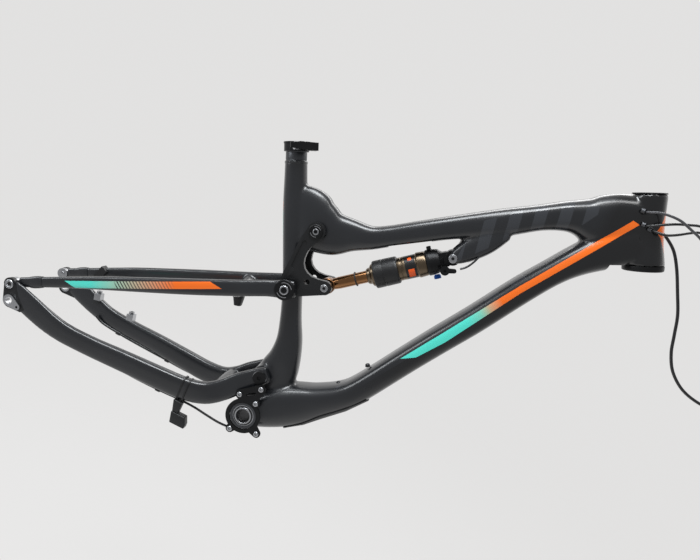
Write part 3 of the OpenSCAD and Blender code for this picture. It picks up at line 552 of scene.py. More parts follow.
# ------------------------------------------------------------------ front triangle
parts = [sweep("t", TOP, 72, 6, 0.3), sweep("d", DOWN, 72, 6, 0.3), sweep("s", SEAT, 64, 5, 0.1)]
parts.append(lathe("h", HT, HD, [(2.2, 0), (2.2, 24.6), (6.2, 25.4), (16.2, 25.1), (36.2, 24.7), (60.2, 24.7), (80.2, 25.7), (98.2, 28.4), (110.2, 30), (110.2, 0)], 96, 0.4))
parts.append(ycyl("b", (0, 0), -45.75, 45.75, 50, 96))
parts.append(ycyl("p", PM, -24.5, 24.5, 34, 64))
parts.append(sweep("k", [[203.2, 0, 383.8, 11, 21, 3.2], [212, 0, 394, 16, 21.4, 3.2], [226, 0, 412, 19.5, 21.8, 3.2], [243, 0, 432, 19, 22.2, 3], [262, 0, 456, 13, 22, 3]], 64, 6))
front = remesh(join("front_triangle", parts), VOX, 7)
cuts = [lathe("c1", HT, HD, [(-20, 0), (-20, 22.05), (127, 22.05), (127, 0)], 96, 0),
        lathe("c2", HT, HD, [(110.2, 0), (110.2, 60), (160, 60), (160, 0)], 64, 0),
        lathe("c3", HT, HD, [(-60, 0), (-60, 60), (2.2, 60), (2.2, 0)], 64, 0),
        lathe("c4", ST, SD, [(-15, 0), (-15, 16.85), (164, 16.85), (164, 0)], 96, 0),
        ycyl("c5", (0, 0), -60, 60, 44.1, 96), ycyl("c6", PU, -60, 60, 26.1, 64), ycyl("c7", PM, -60, 60, 15.1, 64),
        ycyl("c8", PF, -60, 60, 15.3, 64), ycyl("c9", PF, -14.5, 14.5, 50, 96)]
c, s_ = SX.x, SX.z
base = Vector((PF[0] - 60, 0, PF[1] - 80))
q = [base + SX * a + SZ * b for a, b in ((0, 0), (70, 0), (70, 90), (0, 90))]
cuts.append(prism("c10", [(v.x, v.z) for v in q], -14.5, 14.5))
boolean(front, cuts)
done(front, "frame", "front", ["head_tube", "top_tube", "down_tube", "seat_tube", "bb_shell", "shock_bracket"], 34)

# ------------------------------------------------------------------ swingarm
parts = []
for my in (False, True):
    parts.append(sweep("cs", CHAIN, 56, 6, 1.0, my))
parts.append(sweep("y", [[-56, -41, 18, 14, 13, 2.6], [-59, -24, 20, 13, 12, 2.6], [-60, 1, 20, 13, 12, 2.6], [-59, 24, 20, 13, 12, 2.6], [-56, 41, 18, 14, 13, 2.6]], 48, 6))
arm = remesh(join("swingarm_shell", parts), VOX * 0.85, 5)
cuts = []
for sg in (-1, 1):
    for cc, d in ((PM, 24.04), (PD, 21.6), (AX, 26.2)):
        a, b = sorted((sg * 20 if cc is PM else sg * 60, sg * 90))
        cuts.append(ycyl("c", cc, a, b, d, 64))
boolean(arm, cuts)
done(arm, "swingarm", "plain", ["chainstays", "swingarm_yoke"], 34)

# dropout plates: machined outline round the pivot and axle holes, with bevelled edges
for sg, nm in ((-1, "drive"), (1, "brake")):
    y0, y1 = (-78.5, -71) if sg < 0 else (71, 78.5)
    pl = prism("pl", [(-455.7, 42), (-437, 49), (-424, 29), (-406, 11), (-412, 4), (-436, 3.1), (-448, 11)], y0, y1)
    boolean(pl, [ycyl("u1", PD, y0, y1, 21.5, 96), ycyl("u2", AX, y0, y1, 26, 96)], "UNION")
    boolean(pl, [ycyl("h1", PD, y0 - 3, y1 + 3, 8.04, 48), ycyl("h2", AX, y0 - 3, y1 + 3, 18.04, 64)])
    bevel(pl, 0.7)
    done(pl, "swingarm", "link", ["dropout_plates"] if sg < 0 else (), 30).name = "dropout_plate_" + nm

# ------------------------------------------------------------------ seatstays
parts = [sweep("ss", STAY, 56, 6, 0.8, my) for my in (False, True)]
parts.append(sweep("br", [[-98, -50, 194, 9, 12, 2.6], [-98, -30, 186, 10, 12, 2.6], [-98, 1, 184, 10, 12, 2.6], [-98, 30, 186, 10, 12, 2.6], [-98, 50, 194, 9, 12, 2.6]], 48, 6))
stays = remesh(join("seatstay_shell", parts), VOX * 0.8, 4)
cuts = [ycyl("c", PL, -60, 60, 12.04, 64)] + [ycyl("c", PD, *sorted((sg * 50, sg * 90)), 20.1, 64) for sg in (-1, 1)]
boolean(stays, cuts)
done(stays, "seatstay_assembly", "stay", ["seatstays", "seatstay_bridge"], 34)
# bonded sleeves over the rear ends of the seatstays
for sg, nm in ((-1, "drive"), (1, "brake")):
    o = sweep("slv", [[-398, -65.8, 65.3, 9.6, 5.0, 2.8], [-404, -66, 62.5, 10.4, 5.4, 2.8], [-412, -66.1, 58.5, 10.4, 5.4, 2.8], [-418, -66.2, 55.6, 9.6, 5.0, 2.8]], 48, 3, 0.2, sg > 0)
    done(o, "seatstay_assembly", "plain").name = "stay_sleeve_" + nm


# ------------------------------------------------------------------ plates, caps and bolts
def hull2(cs, k=40):
    """convex outline round circles (x, z, r) in the XZ plane"""
    pts = sorted({(round(x + r * cos(2 * pi * i / k), 4), round(z + r * sin(2 * pi * i / k), 4)) for x, z, r in cs for i in range(k)})

    def half_of(ps):
        out = []
        for p in ps:
            while len(out) > 1 and (out[-1][0] - out[-2][0]) * (p[1] - out[-2][1]) - (out[-1][1] - out[-2][1]) * (p[0] - out[-2][0]) <= 0:
                out.pop()
            out.append(p)
        return out[:-1]
    return half_of(pts) + half_of(pts[::-1])


def hexcut(c, y0, y1, d, turn=0.0):
    return prism("hx", [(c[0] + d / 2 * cos(turn + pi * i / 3), c[1] + d / 2 * sin(turn + pi * i / 3)) for i in range(6)], y0, y1)


def bolt(name, c, y_in, y_head, r_shank, r_head, body, mat="steel", hexd=5.0, nodes=(), dome=0.6, sg=-1):
    """button head bolt along Y; y_in inner end, y_head seat of the head, sg is the side it faces"""
    h = 2.6 if r_head < 6 else 3.0
    prof = [(y_in, 0), (y_in, r_shank), (y_head, r_shank), (y_head, r_head), (y_head + sg * h * 0.55, r_head), (y_head + sg * h, r_head - dome * 1.6), (y_head + sg * h, 0)]
    o = lathe(name, (c[0], 0, c[1]), Y, prof, 56, 0.45, 3)
    a, b = sorted((y_head + sg * (h - 2.0), y_head + sg * (h + 2)))
    boolean(o, [hexcut(c, a, b, hexd, 0.3)])
    return done(o, body, mat, nodes, 30)


def socket_shade(name, c, y, sg, body, r=2.7):
    """near-black six sided plug set at the bottom of the socket in a bolt head, painted shade in the recess"""
    o = prism(name, [(c[0] + r * cos(0.3 + pi * i / 3), c[1] + r * sin(0.3 + pi * i / 3)) for i in range(6)], *sorted((y, y - sg * 0.8)))
    bevel(o, 0.15, 1)
    return done(o, body, "dark", (), 30)


# rocker link
first = True
for sg, nm in ((-1, "drive"), (1, "brake")):
    y0, y1 = sorted((sg * 34.0, sg * 23.4))
    pts = [(-26.8, 331), (-30.5, 316), (-32, 300), (-32.8, 280), (-34.8, 258), (-36.8, 231), (-19, 228), (-7, 214.8), (4, 224.5), (41.5, 244.6), (37, 255), (34, 266), (22, 263.6), (10, 263.2), (2, 265.5), (-5, 270), (-10, 277), (-12.2, 286), (-12, 298), (-8.5, 310), (2.6, 330), (-12, 333)]
    o = prism("rocker_plate_" + nm, pts, y0, y1)
    boolean(o, [ycyl("u", PU, y0, y1, 30, 96), ycyl("u", PL, y0, y1, 36, 96), ycyl("u", PS, y0, y1, 23, 72)], "UNION")
    # a shallow pocket along the arm, on the outer face
    ya, yb = sorted((sg * 34.6, sg * 32.2))
    boolean(o, [ycyl("h", PU, -60, 60, 12.04, 64), ycyl("h", PL, -60, 60, 25, 72), ycyl("h", PS, -60, 60, 8.0, 48), ycyl("h", (7, 252), -60, 60, 9, 48),
                prism("pk", hull2([(-21.5, 309, 4.2), (-23, 268, 4.6)]), ya, yb)])
    bevel(o, 1.1, 3, 30)
    done(o, "rocker", "link", ["rocker_link"] if first else (), 40)
    first = False

# pivot caps: a black disc with a plain printed ring, and the bolt in its middle
for sg, nm in ((-1, "drive"), (1, "brake")):
    o = lathe("rocker_cap_" + nm, (PU[0], 0, PU[1]), Y, [(sg * 24, 0), (sg * 24, 3), (sg * 34.6, 3), (sg * 34.6, 12), (sg * 36.2, 12), (sg * 37, 10.6), (sg * 37, 6.2), (sg * 36.2, 5.6), (sg * 36.2, 0)], 96, 0.35, 2)
    a, b = sorted((sg * 35.2, sg * 39))
    boolean(o, [hexcut(PU, a, b, 5.6, 0.2)])
    done(o, "rocker", "black_metal", ["rocker_pivot_caps"] if sg < 0 else (), 30)
    o = lathe("rocker_cap_ring_" + nm, (PU[0], 0, PU[1]), Y, [(sg * 36.25, 3.1), (sg * 36.25, 5.0), (sg * 36.9, 5.0), (sg * 37.1, 4.6), (sg * 37.1, 3.1)], 64, 0.15, 2)
    done(o, "rocker", "steel", (), 30)
    for a0, a1 in ((0.7, 2.2), (3.7, 5.2)):
        V, Fc, K = [], [], 20
        for i in range(K + 1):
            q = a0 + (a1 - a0) * i / K
            for r, y in ((8.0, 37.02), (8.9, 37.02), (8.9, 37.14), (8.0, 37.14)):
                V.append((PU[0] + r * cos(q), sg * y, PU[1] + r * sin(q)))
        for i in range(K):
            for j in range(4):
                Fc.append((4 * i + j, 4 * i + (j + 1) % 4, 4 * i + 4 + (j + 1) % 4, 4 * i + 4 + j))
        Fc += [(0, 1, 2, 3), (4 * K + 3, 4 * K + 2, 4 * K + 1, 4 * K)]
        r_ = obj_from("cap_arc_%s_%d" % (nm, a0), V, Fc)
        fix_normals(r_)
        done(r_, "rocker", "silver_metal")
    # washer and bolt of the rocker to stay pivot, on the stay's outer face
    o = lathe("stay_pivot_disc_" + nm, (PL[0], 0, PL[1]), Y, [(sg * 27, 0), (sg * 27, 6), (sg * 48.9, 6), (sg * 48.9, 17.2), (sg * 51.4, 17.2), (sg * 52.4, 15.6), (sg * 52.4, 8.1), (sg * 51.2, 8.1), (sg * 51.2, 0)], 120, 0.4, 2)
    done(o, "seatstay_assembly", "black_metal", ["rocker_stay_bolts"] if sg < 0 else (), 30)
    o = lathe("stay_pivot_bolt_" + nm, (PL[0], 0, PL[1]), Y, [(sg * 51.25, 0), (sg * 51.25, 7.6), (sg * 53.4, 7.6), (sg * 54.0, 6.8), (sg * 54.0, 5.2), (sg * 52.6, 5.0), (sg * 52.4, 0)], 80, 0.25, 2)
    done(o, "seatstay_assembly", "steel", (), 30)
    o = lathe("stay_pivot_plug_" + nm, (PL[0], 0, PL[1]), Y, [(sg * 52.45, 0), (sg * 52.45, 4.7), (sg * 53.5, 4.7), (sg * 53.7, 4.2), (sg * 53.7, 0)], 64, 0.2, 2)
    a, b = sorted((sg * 53.0, sg * 56))
    boolean(o, [hexcut(PL, a, b, 5.4, 0.2)])
    done(o, "seatstay_assembly", "black_metal", (), 30)
    for a0, a1 in ((0.5, 2.3), (3.9, 5.4)):
        V, Fc, K = [], [], 24
        for i in range(K + 1):
            q = a0 + (a1 - a0) * i / K
            for r, y in ((11.6, 52.42), (12.6, 52.42), (12.6, 52.54), (11.6, 52.54)):
                V.append((PL[0] + r * cos(q), sg * y, PL[1] + r * sin(q)))
        for i in range(K):
            for j in range(4):
                Fc.append((4 * i + j, 4 * i + (j + 1) % 4, 4 * i + 4 + (j + 1) % 4, 4 * i + 4 + j))
        Fc += [(0, 1, 2, 3), (4 * K + 3, 4 * K + 2, 4 * K + 1, 4 * K)]
        r_ = obj_from("disc_arc_%s_%d" % (nm, a0), V, Fc)
        fix_normals(r_)
        done(r_, "seatstay_assembly", "silver_metal")

# chain guide plate with three eyes and an upper lug
pl = ycyl("guide_plate", (0, 0), -48.95, -45.85, 60, 120)
tabs = [[(12, 30, 7), (7, 18, 10)], [(-12, -30, 7), (-7, -18, 10)], [(33, -18, 7), (20, -11, 10)], [(-19, 33, 7.5), (11, 57, 7.5), (0, 28, 12)]]
boolean(pl, [prism("u", hull2(t), -48.95, -45.85) for t in tabs], "UNION")
GB = [(12, 30), (-12, -30), (33, -18), (-19, 33), (11, 57)]
boolean(pl, [ycyl("h", (0, 0), -60, -40, 47, 120), prism("h", hull2([(-6, 38, 2.6), (4, 45, 2.6)]), -60, -40)] + [ycyl("h", g, -60, -40, 6.02, 40) for g in GB])
bevel(pl, 0.6)
done(pl, "frame", "black_metal", ["guide_mount_plate"], 30)
for i, g in enumerate(GB):
    bolt("guide_bolt_%d" % i, g, -45.9, -48.95, 3.0, 4.7, "frame", "steel", 4.4, ["frame_small_bolts"] if i == 0 else ())
for i, (p, an) in enumerate((((122.2, 107.4), 33), ((154.2, 158), 33))):
    ax_ = Vector((-sin(radians(an)), 0, cos(radians(an))))
    o = lathe("bottle_boss_%d" % i, (p[0], 0, p[1]), ax_, [(-1, 0), (-1, 4.2), (1.2, 4.2), (1.2, 4.0), (3.0, 4.0), (4.3, 2.8), (4.3, 1.9), (2.2, 1.9), (2.2, 0)], 48, 0.35, 3)
    done(o, "frame", "ferrule_metal", (), 30)

# headset cups
o = lathe("headset_upper", HT, HD, [(0, 20.9), (0, 24.0), (0.9, 25.0), (2.15, 25.0), (2.15, 22.0), (16, 22.0), (16, 17.5), (8.5, 17.5), (8.5, 20.9)], 128, 0.35, 3)
done(o, "frame", "black_metal", ["headset_cups"], 30)
B = 107 + 3.2
o = lathe("headset_lower", HT, HD, [(B + 0.05, 30), (B + 6.9, 30), (B + 8.4, 28.8), (B + 8.4, 26), (B + 1, 26), (B + 1, 20), (B - 12, 20), (B - 12, 22), (B + 0.05, 22)], 128, 0.4, 3)
done(o, "frame", "black_metal", (), 30)
# seatpost sleeve: bare grey at the clamp, with turned grooves
o = lathe("seatpost_sleeve", ST, SD, [(0, 15.8), (0, 17.45), (13.9, 17.45), (14.1, 17.2), (15.3, 17.2), (15.5, 17.45), (26.2, 17.45), (26.4, 17.1), (27.4, 17.1), (27.6, 17.45), (28.8, 17.45), (28.8, 16.8), (162, 16.8), (162, 15.8)], 128, 0.15, 1)
done(o, "frame", "grey_metal", ["seat_tube_sleeve"], 30)
# lip on the carbon where the sleeve comes out
o = lathe("seat_tube_lip", ST, SD, [(28.9, 17.5), (28.9, 18.3), (29.8, 18.9), (32.6, 18.9), (33.4, 18.4), (33.4, 17.5)], 112, 0.3, 2)
done(o, "frame", "plain", (), 30)


# ------------------------------------------------------------------ shock, turned about its own axis
def shk(name, prof, body, mat, nodes=(), n=112, c=0.5, seg=3):
    o = lathe(name, SP, SX, prof, n, c, seg)
    return done(o, body, mat, nodes, 30)


o = lathe("shock_shaft_rod", SP, SX, [(8, 0), (8, 8), (11, 9.2), (20, 10), (21, 10), (118, 10), (118, 0)], 96, 0.4, 2)
eye = lathe("eye", SP, Y, [(-11, 0), (-11, 12.2), (-10.2, 13), (10.2, 13), (11, 12.2), (11, 0)], 96, 0.3, 2)
boolean(o, [eye], "UNION")
boolean(o, [ycyl("h", PS, -30, 30, 15.2, 72)])
done(o, "shock_piston", "bronze_shaft", ["shock_shaft"], 32)
o = lathe("shock_eye_bush", SP, Y, [(-10.9, 7.05), (-10.9, 7.55), (10.9, 7.55), (10.9, 7.05)], 72, 0.1, 1)
done(o, "shock_piston", "black_plastic", (), 30)
shk("travel_ring", [(47.6, 10.05), (47.5, 11.4), (48.1, 12.15), (49.3, 12.15), (49.9, 11.4), (49.8, 10.05)], "travel_marker", "rubber", ["shock_travel_ring"], 72, 0.3)
shk("shock_can_body", [(69, 10.04), (69, 12.2), (70.2, 13.2), (74, 13.9), (77, 18.2), (79.8, 18.9), (80, 19.0), (122.4, 19.0), (122.6, 19.1), (127, 19.1), (127.3, 18.7), (128.2, 18.7), (128.5, 19.1), (152, 19.1), (153, 20.3), (154, 20.9), (166, 20.2), (168, 19.6), (168, 10.6), (165.5, 10.04)], "shock_body", "champagne_can", ["shock_can"])
shk("shock_wiper", [(68.4, 10.06), (68.4, 11.6), (69.0, 12.0), (70.4, 12.4), (70.4, 10.06)], "shock_body", "rubber", (), 96, 0.2)
shk("shock_air_sleeve", [(80.3, 19.2), (80.3, 21.6), (81.6, 22.8), (84, 23), (96, 22.9), (96.4, 22.4), (97.6, 22.4), (98, 22.9), (118, 22.6), (120.4, 22.0), (121.4, 20.8), (121.4, 19.2)], "shock_body", "black_plastic", ["shock_sleeve"])

# printed band round the can: plain blocks and bars
n_ = N("can_band")
uu = n_.math("ADD", n_.math("MULTIPLY", n_.math("SUBTRACT", n_.x, PS[0] / 1000), SX.x), n_.math("MULTIPLY", n_.math("SUBTRACT", n_.z, PS[1] / 1000), SX.z))
vv = n_.math("ADD", n_.math("MULTIPLY", n_.math("SUBTRACT", n_.x, PS[0] / 1000), -SX.z), n_.math("MULTIPLY", n_.math("SUBTRACT", n_.z, PS[1] / 1000), SX.x))


def rng(v, a, b):
    return n_.math("MULTIPLY", n_.ramp(v, a - 0.0001, a + 0.0001, 0.0, 1.0), n_.ramp(v, b - 0.0001, b + 0.0001, 1.0, 0.0))


dark_ = n_.math("MAXIMUM", rng(uu, 0.1335, 0.1505), n_.math("MULTIPLY", rng(uu, 0.1335, 0.1655), rng(vv, -0.0185, 0.0055)))
blk1 = n_.math("MULTIPLY", rng(uu, 0.1375, 0.1475), rng(vv, -0.0150, -0.0020))
bars_ = n_.math("MULTIPLY", n_.math("MULTIPLY", rng(uu, 0.1525, 0.1630), rng(vv, -0.0165, 0.0035)), n_.math("GREATER_THAN", n_.math("FRACT", n_.math("MULTIPLY", vv, 260.0)), 0.52))
blk2 = n_.math("MULTIPLY", rng(uu, 0.1395, 0.1455), rng(vv, 0.0120, 0.0160))
org = n_.math("MAXIMUM", n_.math("MAXIMUM", blk1, bars_), blk2)
cc_ = n_.mix(n_.noise(30), (0.185, 0.140, 0.095, 1), (0.225, 0.170, 0.115, 1))
cc_ = n_.mix(dark_, cc_, (0.008, 0.008, 0.008, 1))
cc_ = n_.mix(org, cc_, c4((1.0, 0.13, 0.015)))
n_.put(n_.b.inputs["Base Color"], cc_)
n_.put(n_.b.inputs["Metallic"], n_.math("SUBTRACT", 1.0, n_.math("MAXIMUM", dark_, org)))
n_.put(n_.b.inputs["Roughness"], n_.ramp(n_.noise(900), 0.3, 0.7, 0.26, 0.36))
n_.bump(n_.noise(1500), 0.00002)
M["can_band"] = n_.m
shk("can_print_band", [(131, 19.12), (131, 19.22), (151.5, 19.22), (151.5, 19.12)], "shock_body", "can_band", (), 128, 0.02, 1)
shk("shock_head_body", [(168.3, 0), (168.3, 20.2), (169.4, 21.2), (173, 21.3), (180, 20.4), (184, 19.9), (189, 18.6), (191.5, 16.2), (196, 12.6), (196, 0)], "shock_body", "black_metal", ["shock_head"])
front_eye = lathe("shock_front_eye", (PF[0], 0, PF[1]), Y, [(-12.5, 7.62), (-12.5, 11.9), (-11.6, 12.5), (11.6, 12.5), (12.5, 11.9), (12.5, 7.62)], 96, 0.3, 2)
done(front_eye, "shock_body", "black_metal", (), 30)
web = prism("shock_head_web", [(SP.x + SX.x * a + SZ.x * b, SP.z + SX.z * a + SZ.z * b) for a, b in ((186, -12.2), (203, -11.6), (203, 11.6), (186, 12.2))], -12, 12)
boolean(web, [ycyl("h", PF, -30, 30, 22, 72)])
bevel(web, 1.2, 3)
done(web, "shock_body", "black_metal", (), 30)
# air valve cap on the head
o = lathe("air_valve_cap", SP + SX * 176 + SZ * 20 + Vector((0, 4, 0)), SZ, [(-2, 0), (-2, 4.2), (0.8, 4.2), (1.0, 3.8), (5.6, 3.8), (6.2, 3.0), (6.2, 0)], 48, 0.3, 2)
done(o, "shock_body", "black_plastic", (), 30)

# bolts of the shock and the rear pivots
# near-black plugs in the bolt sockets: painted shade
socket_shade("shock_socket_shade_front", PF, -22.9, -1, "frame", 2.75)
socket_shade("shock_socket_shade_rear", PS, -35.7, -1, "rocker", 2.75)
bolt("shock_bolt_front", PF, 21, -21.25, 4.0, 7.2, "frame", "steel", 5.6, ["shock_front_bolt"])
o = lathe("shock_front_reducer", (PF[0], 0, PF[1]), Y, [(-21.2, 4.02), (-21.2, 7.55), (21.2, 7.55), (21.2, 4.02)], 72, 0.3, 2)
done(o, "frame", "grey_metal", (), 30)
o = lathe("shock_front_nut", (PF[0], 0, PF[1]), Y, [(21.25, 0), (21.25, 7.2), (23.2, 7.2), (24, 6.4), (24, 0)], 64, 0.3, 2)
done(o, "frame", "steel", (), 30)
bolt("shock_bolt_rear", PS, 34.1, -34.1, 3.98, 6.7, "rocker", "steel", 5.6, ["shock_rear_bolt"])
o = lathe("shock_rear_nut", (PS[0], 0, PS[1]), Y, [(34.1, 0), (34.1, 6.7), (36.6, 6.7), (37.4, 5.9), (37.4, 0)], 64, 0.3, 2)
done(o, "rocker", "steel", (), 30)
for sg, nm in ((-1, "drive"), (1, "brake")):
    o = lathe("shock_spacer_" + nm, (PS[0], 0, PS[1]), Y, [(sg * 11.4, 4.0), (sg * 11.4, 6.0), (sg * 12.6, 7.0), (sg * 23.3, 7.0), (sg * 23.3, 4.0)], 72, 0.3, 2)
    done(o, "rocker", "grey_metal", (), 30)
    o = lathe("rear_pivot_bolt_" + nm, (PD[0], 0, PD[1]), Y, [(sg * 61.5, 0), (sg * 61.5, 4), (sg * 78.65, 4), (sg * 78.65, 7.75), (sg * 80.4, 7.75), (sg * 81.3, 6.9), (sg * 81.3, 4.6), (sg * 79.9, 4.0), (sg * 79.9, 0)], 72, 0.35, 3)
    done(o, "swingarm", "steel", ["dropout_pivot_bolts"] if sg < 0 else (), 30)
    # near-black plug in the bolt's socket: painted shade
    socket_shade("rear_pivot_socket_shade_" + nm, PD, sg * 80.3, sg, "swingarm", 3.7)
# bottom bracket: the lining of the shell, then the bearings with black seals
M["bb_lining"] = simple("shell_lining", (0.085, 0.086, 0.092), 0.36, 0.85, grain=1400, stretch=(0.3, 5, 0.3))
o = lathe("bb_lining", (0, 0, 0), Y, [(-45.5, 20.55), (-45.5, 21.9), (45.5, 21.9), (45.5, 20.55), (30, 20.6), (0, 20.6), (-30, 20.6)], 96, 0.3, 2)
done(o, "frame", "bb_lining", ["bb_shell_sleeve"], 30)
for sg, nm in ((-1, "drive"), (1, "brake")):
    o = lathe("bb_outer_ring_" + nm, (0, 0, 0), Y, [(sg * 39.6, 16.6), (sg * 39.6, 18.48), (sg * 46.5, 18.48), (sg * 46.5, 17.0), (sg * 46.1, 16.6)], 112, 0.3, 2)
    done(o, "frame", "bearing_steel", ["bb_bearing_outer_rings"] if sg < 0 else (), 30)
    o = lathe("bb_seal_" + nm, (0, 0, 0), Y, [(sg * 45.3, 16.25), (sg * 45.3, 16.58), (sg * 46.0, 16.58), (sg * 46.15, 16.4), (sg * 46.0, 16.25)], 112, 0.05, 1)
    done(o, "frame", "rubber", (), 30)
    o = lathe("bb_inner_ring_" + nm, (0, 0, 0), Y, [(sg * 39.6, 12.02), (sg * 39.6, 16.2), (sg * 46.4, 16.2), (sg * 46.5, 14.9), (sg * 46.6, 14.5), (sg * 47.9, 14.5), (sg * 47.9, 12.02)], 112, 0.35, 3)
    done(o, "bottom_bracket_rings", "bearing_steel", ["bb_bearing_inner_rings"] if sg < 0 else (), 30)
    o = lathe("bb_dust_lip_" + nm, (0, 0, 0), Y, [(sg * 46.62, 14.55), (sg * 46.62, 16.0), (sg * 47.0, 16.1), (sg * 47.3, 15.6), (sg * 47.3, 14.55)], 112, 0.1, 1)
    done(o, "bottom_bracket_rings", "rubber", (), 30)
# speed sensor with its rounded foot
o = prism("wheel_sensor_body", [(-112.5, -41.5), (-86.5, -41.5), (-81.5, -54), (-81.5, -61.5), (-108.5, -61.5)], -64.4, -51.6)
bevel(o, 1.6, 4)
done(o, "swingarm", "black_plastic", ["wheel_sensor"], 34)
o = prism("wheel_sensor_neck", [(-116.4, -21.2), (-99.6, -21.2), (-100.5, -41.2), (-111.5, -41.2)], -62.8, -53.2)
bevel(o, 1.2, 3)
done(o, "swingarm", "black_plastic", (), 34)
# two cable ties round the drive side stay at the sensor
for k, zx in enumerate((-113, -103.2)):
    V, Fc, K = [], [], 64
    ring_ = []
    for i in range(K):
        a = 2 * pi * i / K
        ring_.append((zx, -50.3 + 11.2 * spow(sin(a), 3.4), -1 + 20.9 * spow(cos(a), 3.4)))
    for i, p in enumerate(ring_):
        p0, p1 = Vector(ring_[i - 1]), Vector(ring_[(i + 1) % K])
        t = (p1 - p0).normalized()
        nrm = Vector((0, t.z, -t.y))
        for dx, dn in ((-1.3, -0.5), (1.3, -0.5), (1.3, 0.5), (-1.3, 0.5)):
            V.append(Vector(p) + Vector((dx, 0, 0)) + nrm * dn)
    for i in range(K):
        for j in range(4):
            a, b = 4 * i + j, 4 * i + (j + 1) % 4
            Fc.append((a, b, (b + 4) % (4 * K), (a + 4) % (4 * K)))
    o = obj_from("cable_tie_%d" % k, V, Fc)
    fix_normals(o)
    done(o, "swingarm", "black_plastic", (), 30)


# ------------------------------------------------------------------ hoses and housings
R_SHOCK_CABLE = [[242, -14, 422], [240, -16, 412], [238, -18.5, 401], [233, -21.5, 389], [227, -23.5, 380], [220, -24.5, 374]]
R_BRAKE_REAR = [[-352, 60, -4], [-335, 61.5, -12], [-300, 62.5, -16.5], [-270, 60, -17.5], [-230, 57.5, -18.2], [-190, 56, -19], [-150, 53, -19.5], [-126, 50, -17]]
R_GEAR_STAY = [[-236, -57, -12], [-222, -56, -18.5], [-200, -55, -21.5], [-150, -54, -22.3], [-112, -48.5, -24], [-84, -44, -27]]
R_GEAR_FRAME = [[-60, -41, -31.5], [-34, -37, -36], [-12, -32, -36.5], [8, -27, -33], [24, -22, -27]]
R_GEAR_FRONT = [[428.5, -28.5, 566], [433, -33, 567.5], [446, -38, 572], [471, -39, 573], [495, -36, 567], [516, -32, 560], [544, -26, 544], [573, -20, 512], [602, -16, 467], [633, -12, 412], [663, -10, 355], [694, -8, 298]]
R_MECH_FRONT = [[438.5, -28.5, 548], [444, -33, 551], [456, -36, 558], [474, -32, 567], [493, -25, 574], [509, -20, 579], [536, -12, 582], [565, -6, 568], [594, -2, 536], [626, 0, 483], [655, 2, 428], [685, 2, 371], [711, 2, 321]]
R_REMOTE_FRONT = [[449.5, -28.7, 545.5], [455, -33.5, 545], [466, -36, 546], [481, -33, 553], [500, -22, 564], [515, -14, 571], [542, -4, 577], [572, 4, 571], [607, 10, 541], [643, 12, 489], [676, 14, 434], [706, 14, 377]]
R_BRAKE_FRONT = [[462.5, 29, 557], [471, 33, 556], [484, 36, 554], [499, 37, 547], [515, 36, 534], [531, 34, 511], [548, 32, 480], [565, 30, 447], [575, 28, 416], [584, 26, 388], [600, 24, 362], [627, 22, 342], [661, 20, 334], [689, 18, 338], [715, 16, 352]]


def tube(name, pts, r, n=20, k=8, up=(0, 1, 0)):
    f = [Vector(p) for p in fine(pts, k)]
    m = len(f)
    V, Fc = [], []
    for i in range(m):
        t = (f[min(i + 1, m - 1)] - f[max(i - 1, 0)]).normalized()
        b = t.cross(Vector(up)).normalized()
        w = t.cross(b)
        for j in range(n):
            q = 2 * pi * j / n
            V.append(f[i] + (w * cos(q) + b * sin(q)) * r)
    for i in range(m - 1):
        for j in range(n):
            a, b = i * n + j, i * n + (j + 1) % n
            Fc.append((a, b, b + n, a + n))
    Fc += [tuple(range(n - 1, -1, -1)), tuple((m - 1) * n + j for j in range(n))]
    o = obj_from(name, V, Fc)
    fix_normals(o)
    return o, f


o, _ = tube("shock_lockout_cable", R_SHOCK_CABLE, 1.6)
done(o, "frame", "black_housing", ["shock_cable"], 40)
o, _ = tube("rear_brake_line", R_BRAKE_REAR, 2.5)
done(o, "swingarm", "black_housing", ["rear_brake_hose"], 40)
o, _ = tube("gear_housing_lower", R_GEAR_STAY + R_GEAR_FRAME, 2.0, 20, 10)
o.data.materials.clear()
o.data.materials.append(M["black_housing"])
smooth(o, 40)
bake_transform(o)
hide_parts("gear_housing_stay", "gear_housing_frame")

CORDS = [("cord_gear", R_GEAR_FRONT, 4.0, "grey_housing", "gear_housing_front", "stiff"), ("cord_mech", R_MECH_FRONT, 4.0, "black_housing", "front_gear_housing", "stiff"),
         ("cord_remote", R_REMOTE_FRONT, 4.0, "black_housing", "remote_housing", "stiff"), ("cord_brake", R_BRAKE_FRONT, 5.0, "black_housing", "brake_hose_front", "stiff")]
for ci, (name, pts, d, mat, node, stiff) in enumerate(CORDS):
    o, f = tube(name, pts, d / 2, 20, 8)
    done(o, "frame", mat, [node], 40)
    e, dr = f[-1], (f[-1] - f[-2]).normalized()
    if ci < 3:
        prof = [(0.05, 0), (0.05, d / 2 + 0.9), (1.2, d / 2 + 1.0), (4, d / 2 + 0.75), (4.3, d / 2 + 0.5), (5.2, d / 2 + 0.5), (5.5, d / 2 + 0.8), (11, d / 2 + 0.7), (11, d / 2 - 0.5), (14.4, d / 2 - 0.6), (14.4, 0)]
    else:
        prof = [(0.05, 0), (0.05, d / 2 + 0.9), (4.5, d / 2 + 0.9), (4.8, d / 2 + 0.4), (6, d / 2 + 0.4), (6.3, d / 2 + 0.9), (11, d / 2 + 0.9), (11, d / 2 - 0.7), (14.4, d / 2 - 0.8), (14.4, 0)]
    ft = lathe("end_" + name, e, dr, prof, 48, 0.25, 2)
    done(ft, "frame", "ferrule_metal", ["hose_end_fittings"] if ci == 0 else (), 30)

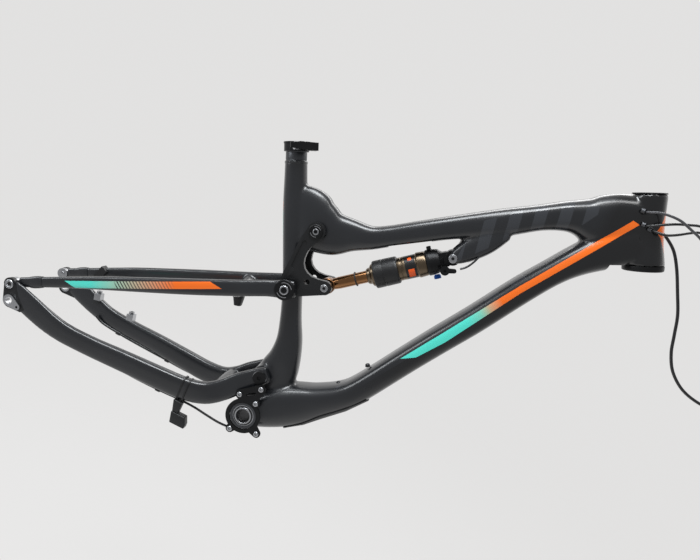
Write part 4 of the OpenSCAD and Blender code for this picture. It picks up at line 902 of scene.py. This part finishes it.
# ------------------------------------------------------------------ floor, light, world
me = bpy.data.meshes.new("floor")
me.from_pydata([(-8, -8, 0), (8, -8, 0), (8, 8, 0), (-8, 8, 0)], [], [(0, 1, 2, 3)])
floor = bpy.data.objects.new("floor", me)
COL.objects.link(floor)
floor.location = (0.05, 0.2, -0.95)
fm = N("floor_paint")
fm.b.inputs["Roughness"].default_value = 0.85
fm.put(fm.b.inputs["Base Color"], fm.mix(fm.noise(3), (0.105, 0.104, 0.103, 1), (0.115, 0.114, 0.113, 1)))
fm.b.inputs["Emission Color"].default_value = (0.76, 0.755, 0.75, 1)
fm.b.inputs["Emission Strength"].default_value = 0.90
fm.b.inputs["Specular IOR Level"].default_value = 0.1
rr = fm.math("SQRT", fm.math("ADD", fm.math("MULTIPLY", fm.x, fm.x), fm.math("MULTIPLY", fm.y, fm.y)))
fm.put(fm.b.inputs["Alpha"], fm.ramp(rr, 0.7, 3.2, 1.0, 0.0))
me.materials.append(fm.m)

SC.view_settings.view_transform = "Standard"
WORLD = (0.76, 0.755, 0.75)
w = bpy.data.worlds.new("world")
SC.world = w
w.use_nodes = True
bg = w.node_tree.nodes["Background"]
tc = w.node_tree.nodes.new("ShaderNodeTexCoord")
sp_ = w.node_tree.nodes.new("ShaderNodeSeparateXYZ")
mr = w.node_tree.nodes.new("ShaderNodeMapRange")
mx = w.node_tree.nodes.new("ShaderNodeMix")
mx.data_type = "RGBA"
w.node_tree.links.new(tc.outputs["Generated"], sp_.inputs[0])
w.node_tree.links.new(sp_.outputs["Y"], mr.inputs["Value"])
mr.inputs["From Min"].default_value = -0.15
mr.inputs["From Max"].default_value = 0.42
w.node_tree.links.new(mr.outputs[0], mx.inputs["Factor"])
mx.inputs["A"].default_value = (0.30, 0.303, 0.31, 1)
mx.inputs["B"].default_value = (*WORLD, 1)
w.node_tree.links.new(mx.outputs["Result"], bg.inputs["Color"])
bg.inputs["Strength"].default_value = 1.0


def area(name, loc, target, size, power, col=(1, 1, 1)):
    l = bpy.data.lights.new(name, "AREA")
    l.shape = "RECTANGLE"
    l.size, l.size_y = size
    l.energy = power
    l.color = col
    o = bpy.data.objects.new(name, l)
    COL.objects.link(o)
    o.location = loc
    o.rotation_mode = "QUATERNION"
    o.rotation_quaternion = (Vector(target) - Vector(loc)).to_track_quat("-Z", "Y")
    return o


area("key", (-0.7, -0.95, 2.3), (0.05, 0, 0.25), (1.5, 0.9), 46, (0.93, 0.97, 1.0))
area("window", (-2.4, -1.1, 0.9), (0.0, 0, 0.2), (0.7, 1.5), 20, (0.93, 0.97, 1.0))
area("fill", (0.3, -1.6, 3.0), (0.1, 0, 0.3), (2.4, 0.5), 22)
area("rim", (0.2, 1.8, 2.0), (0.05, 0, 0.25), (2.2, 0.9), 22)
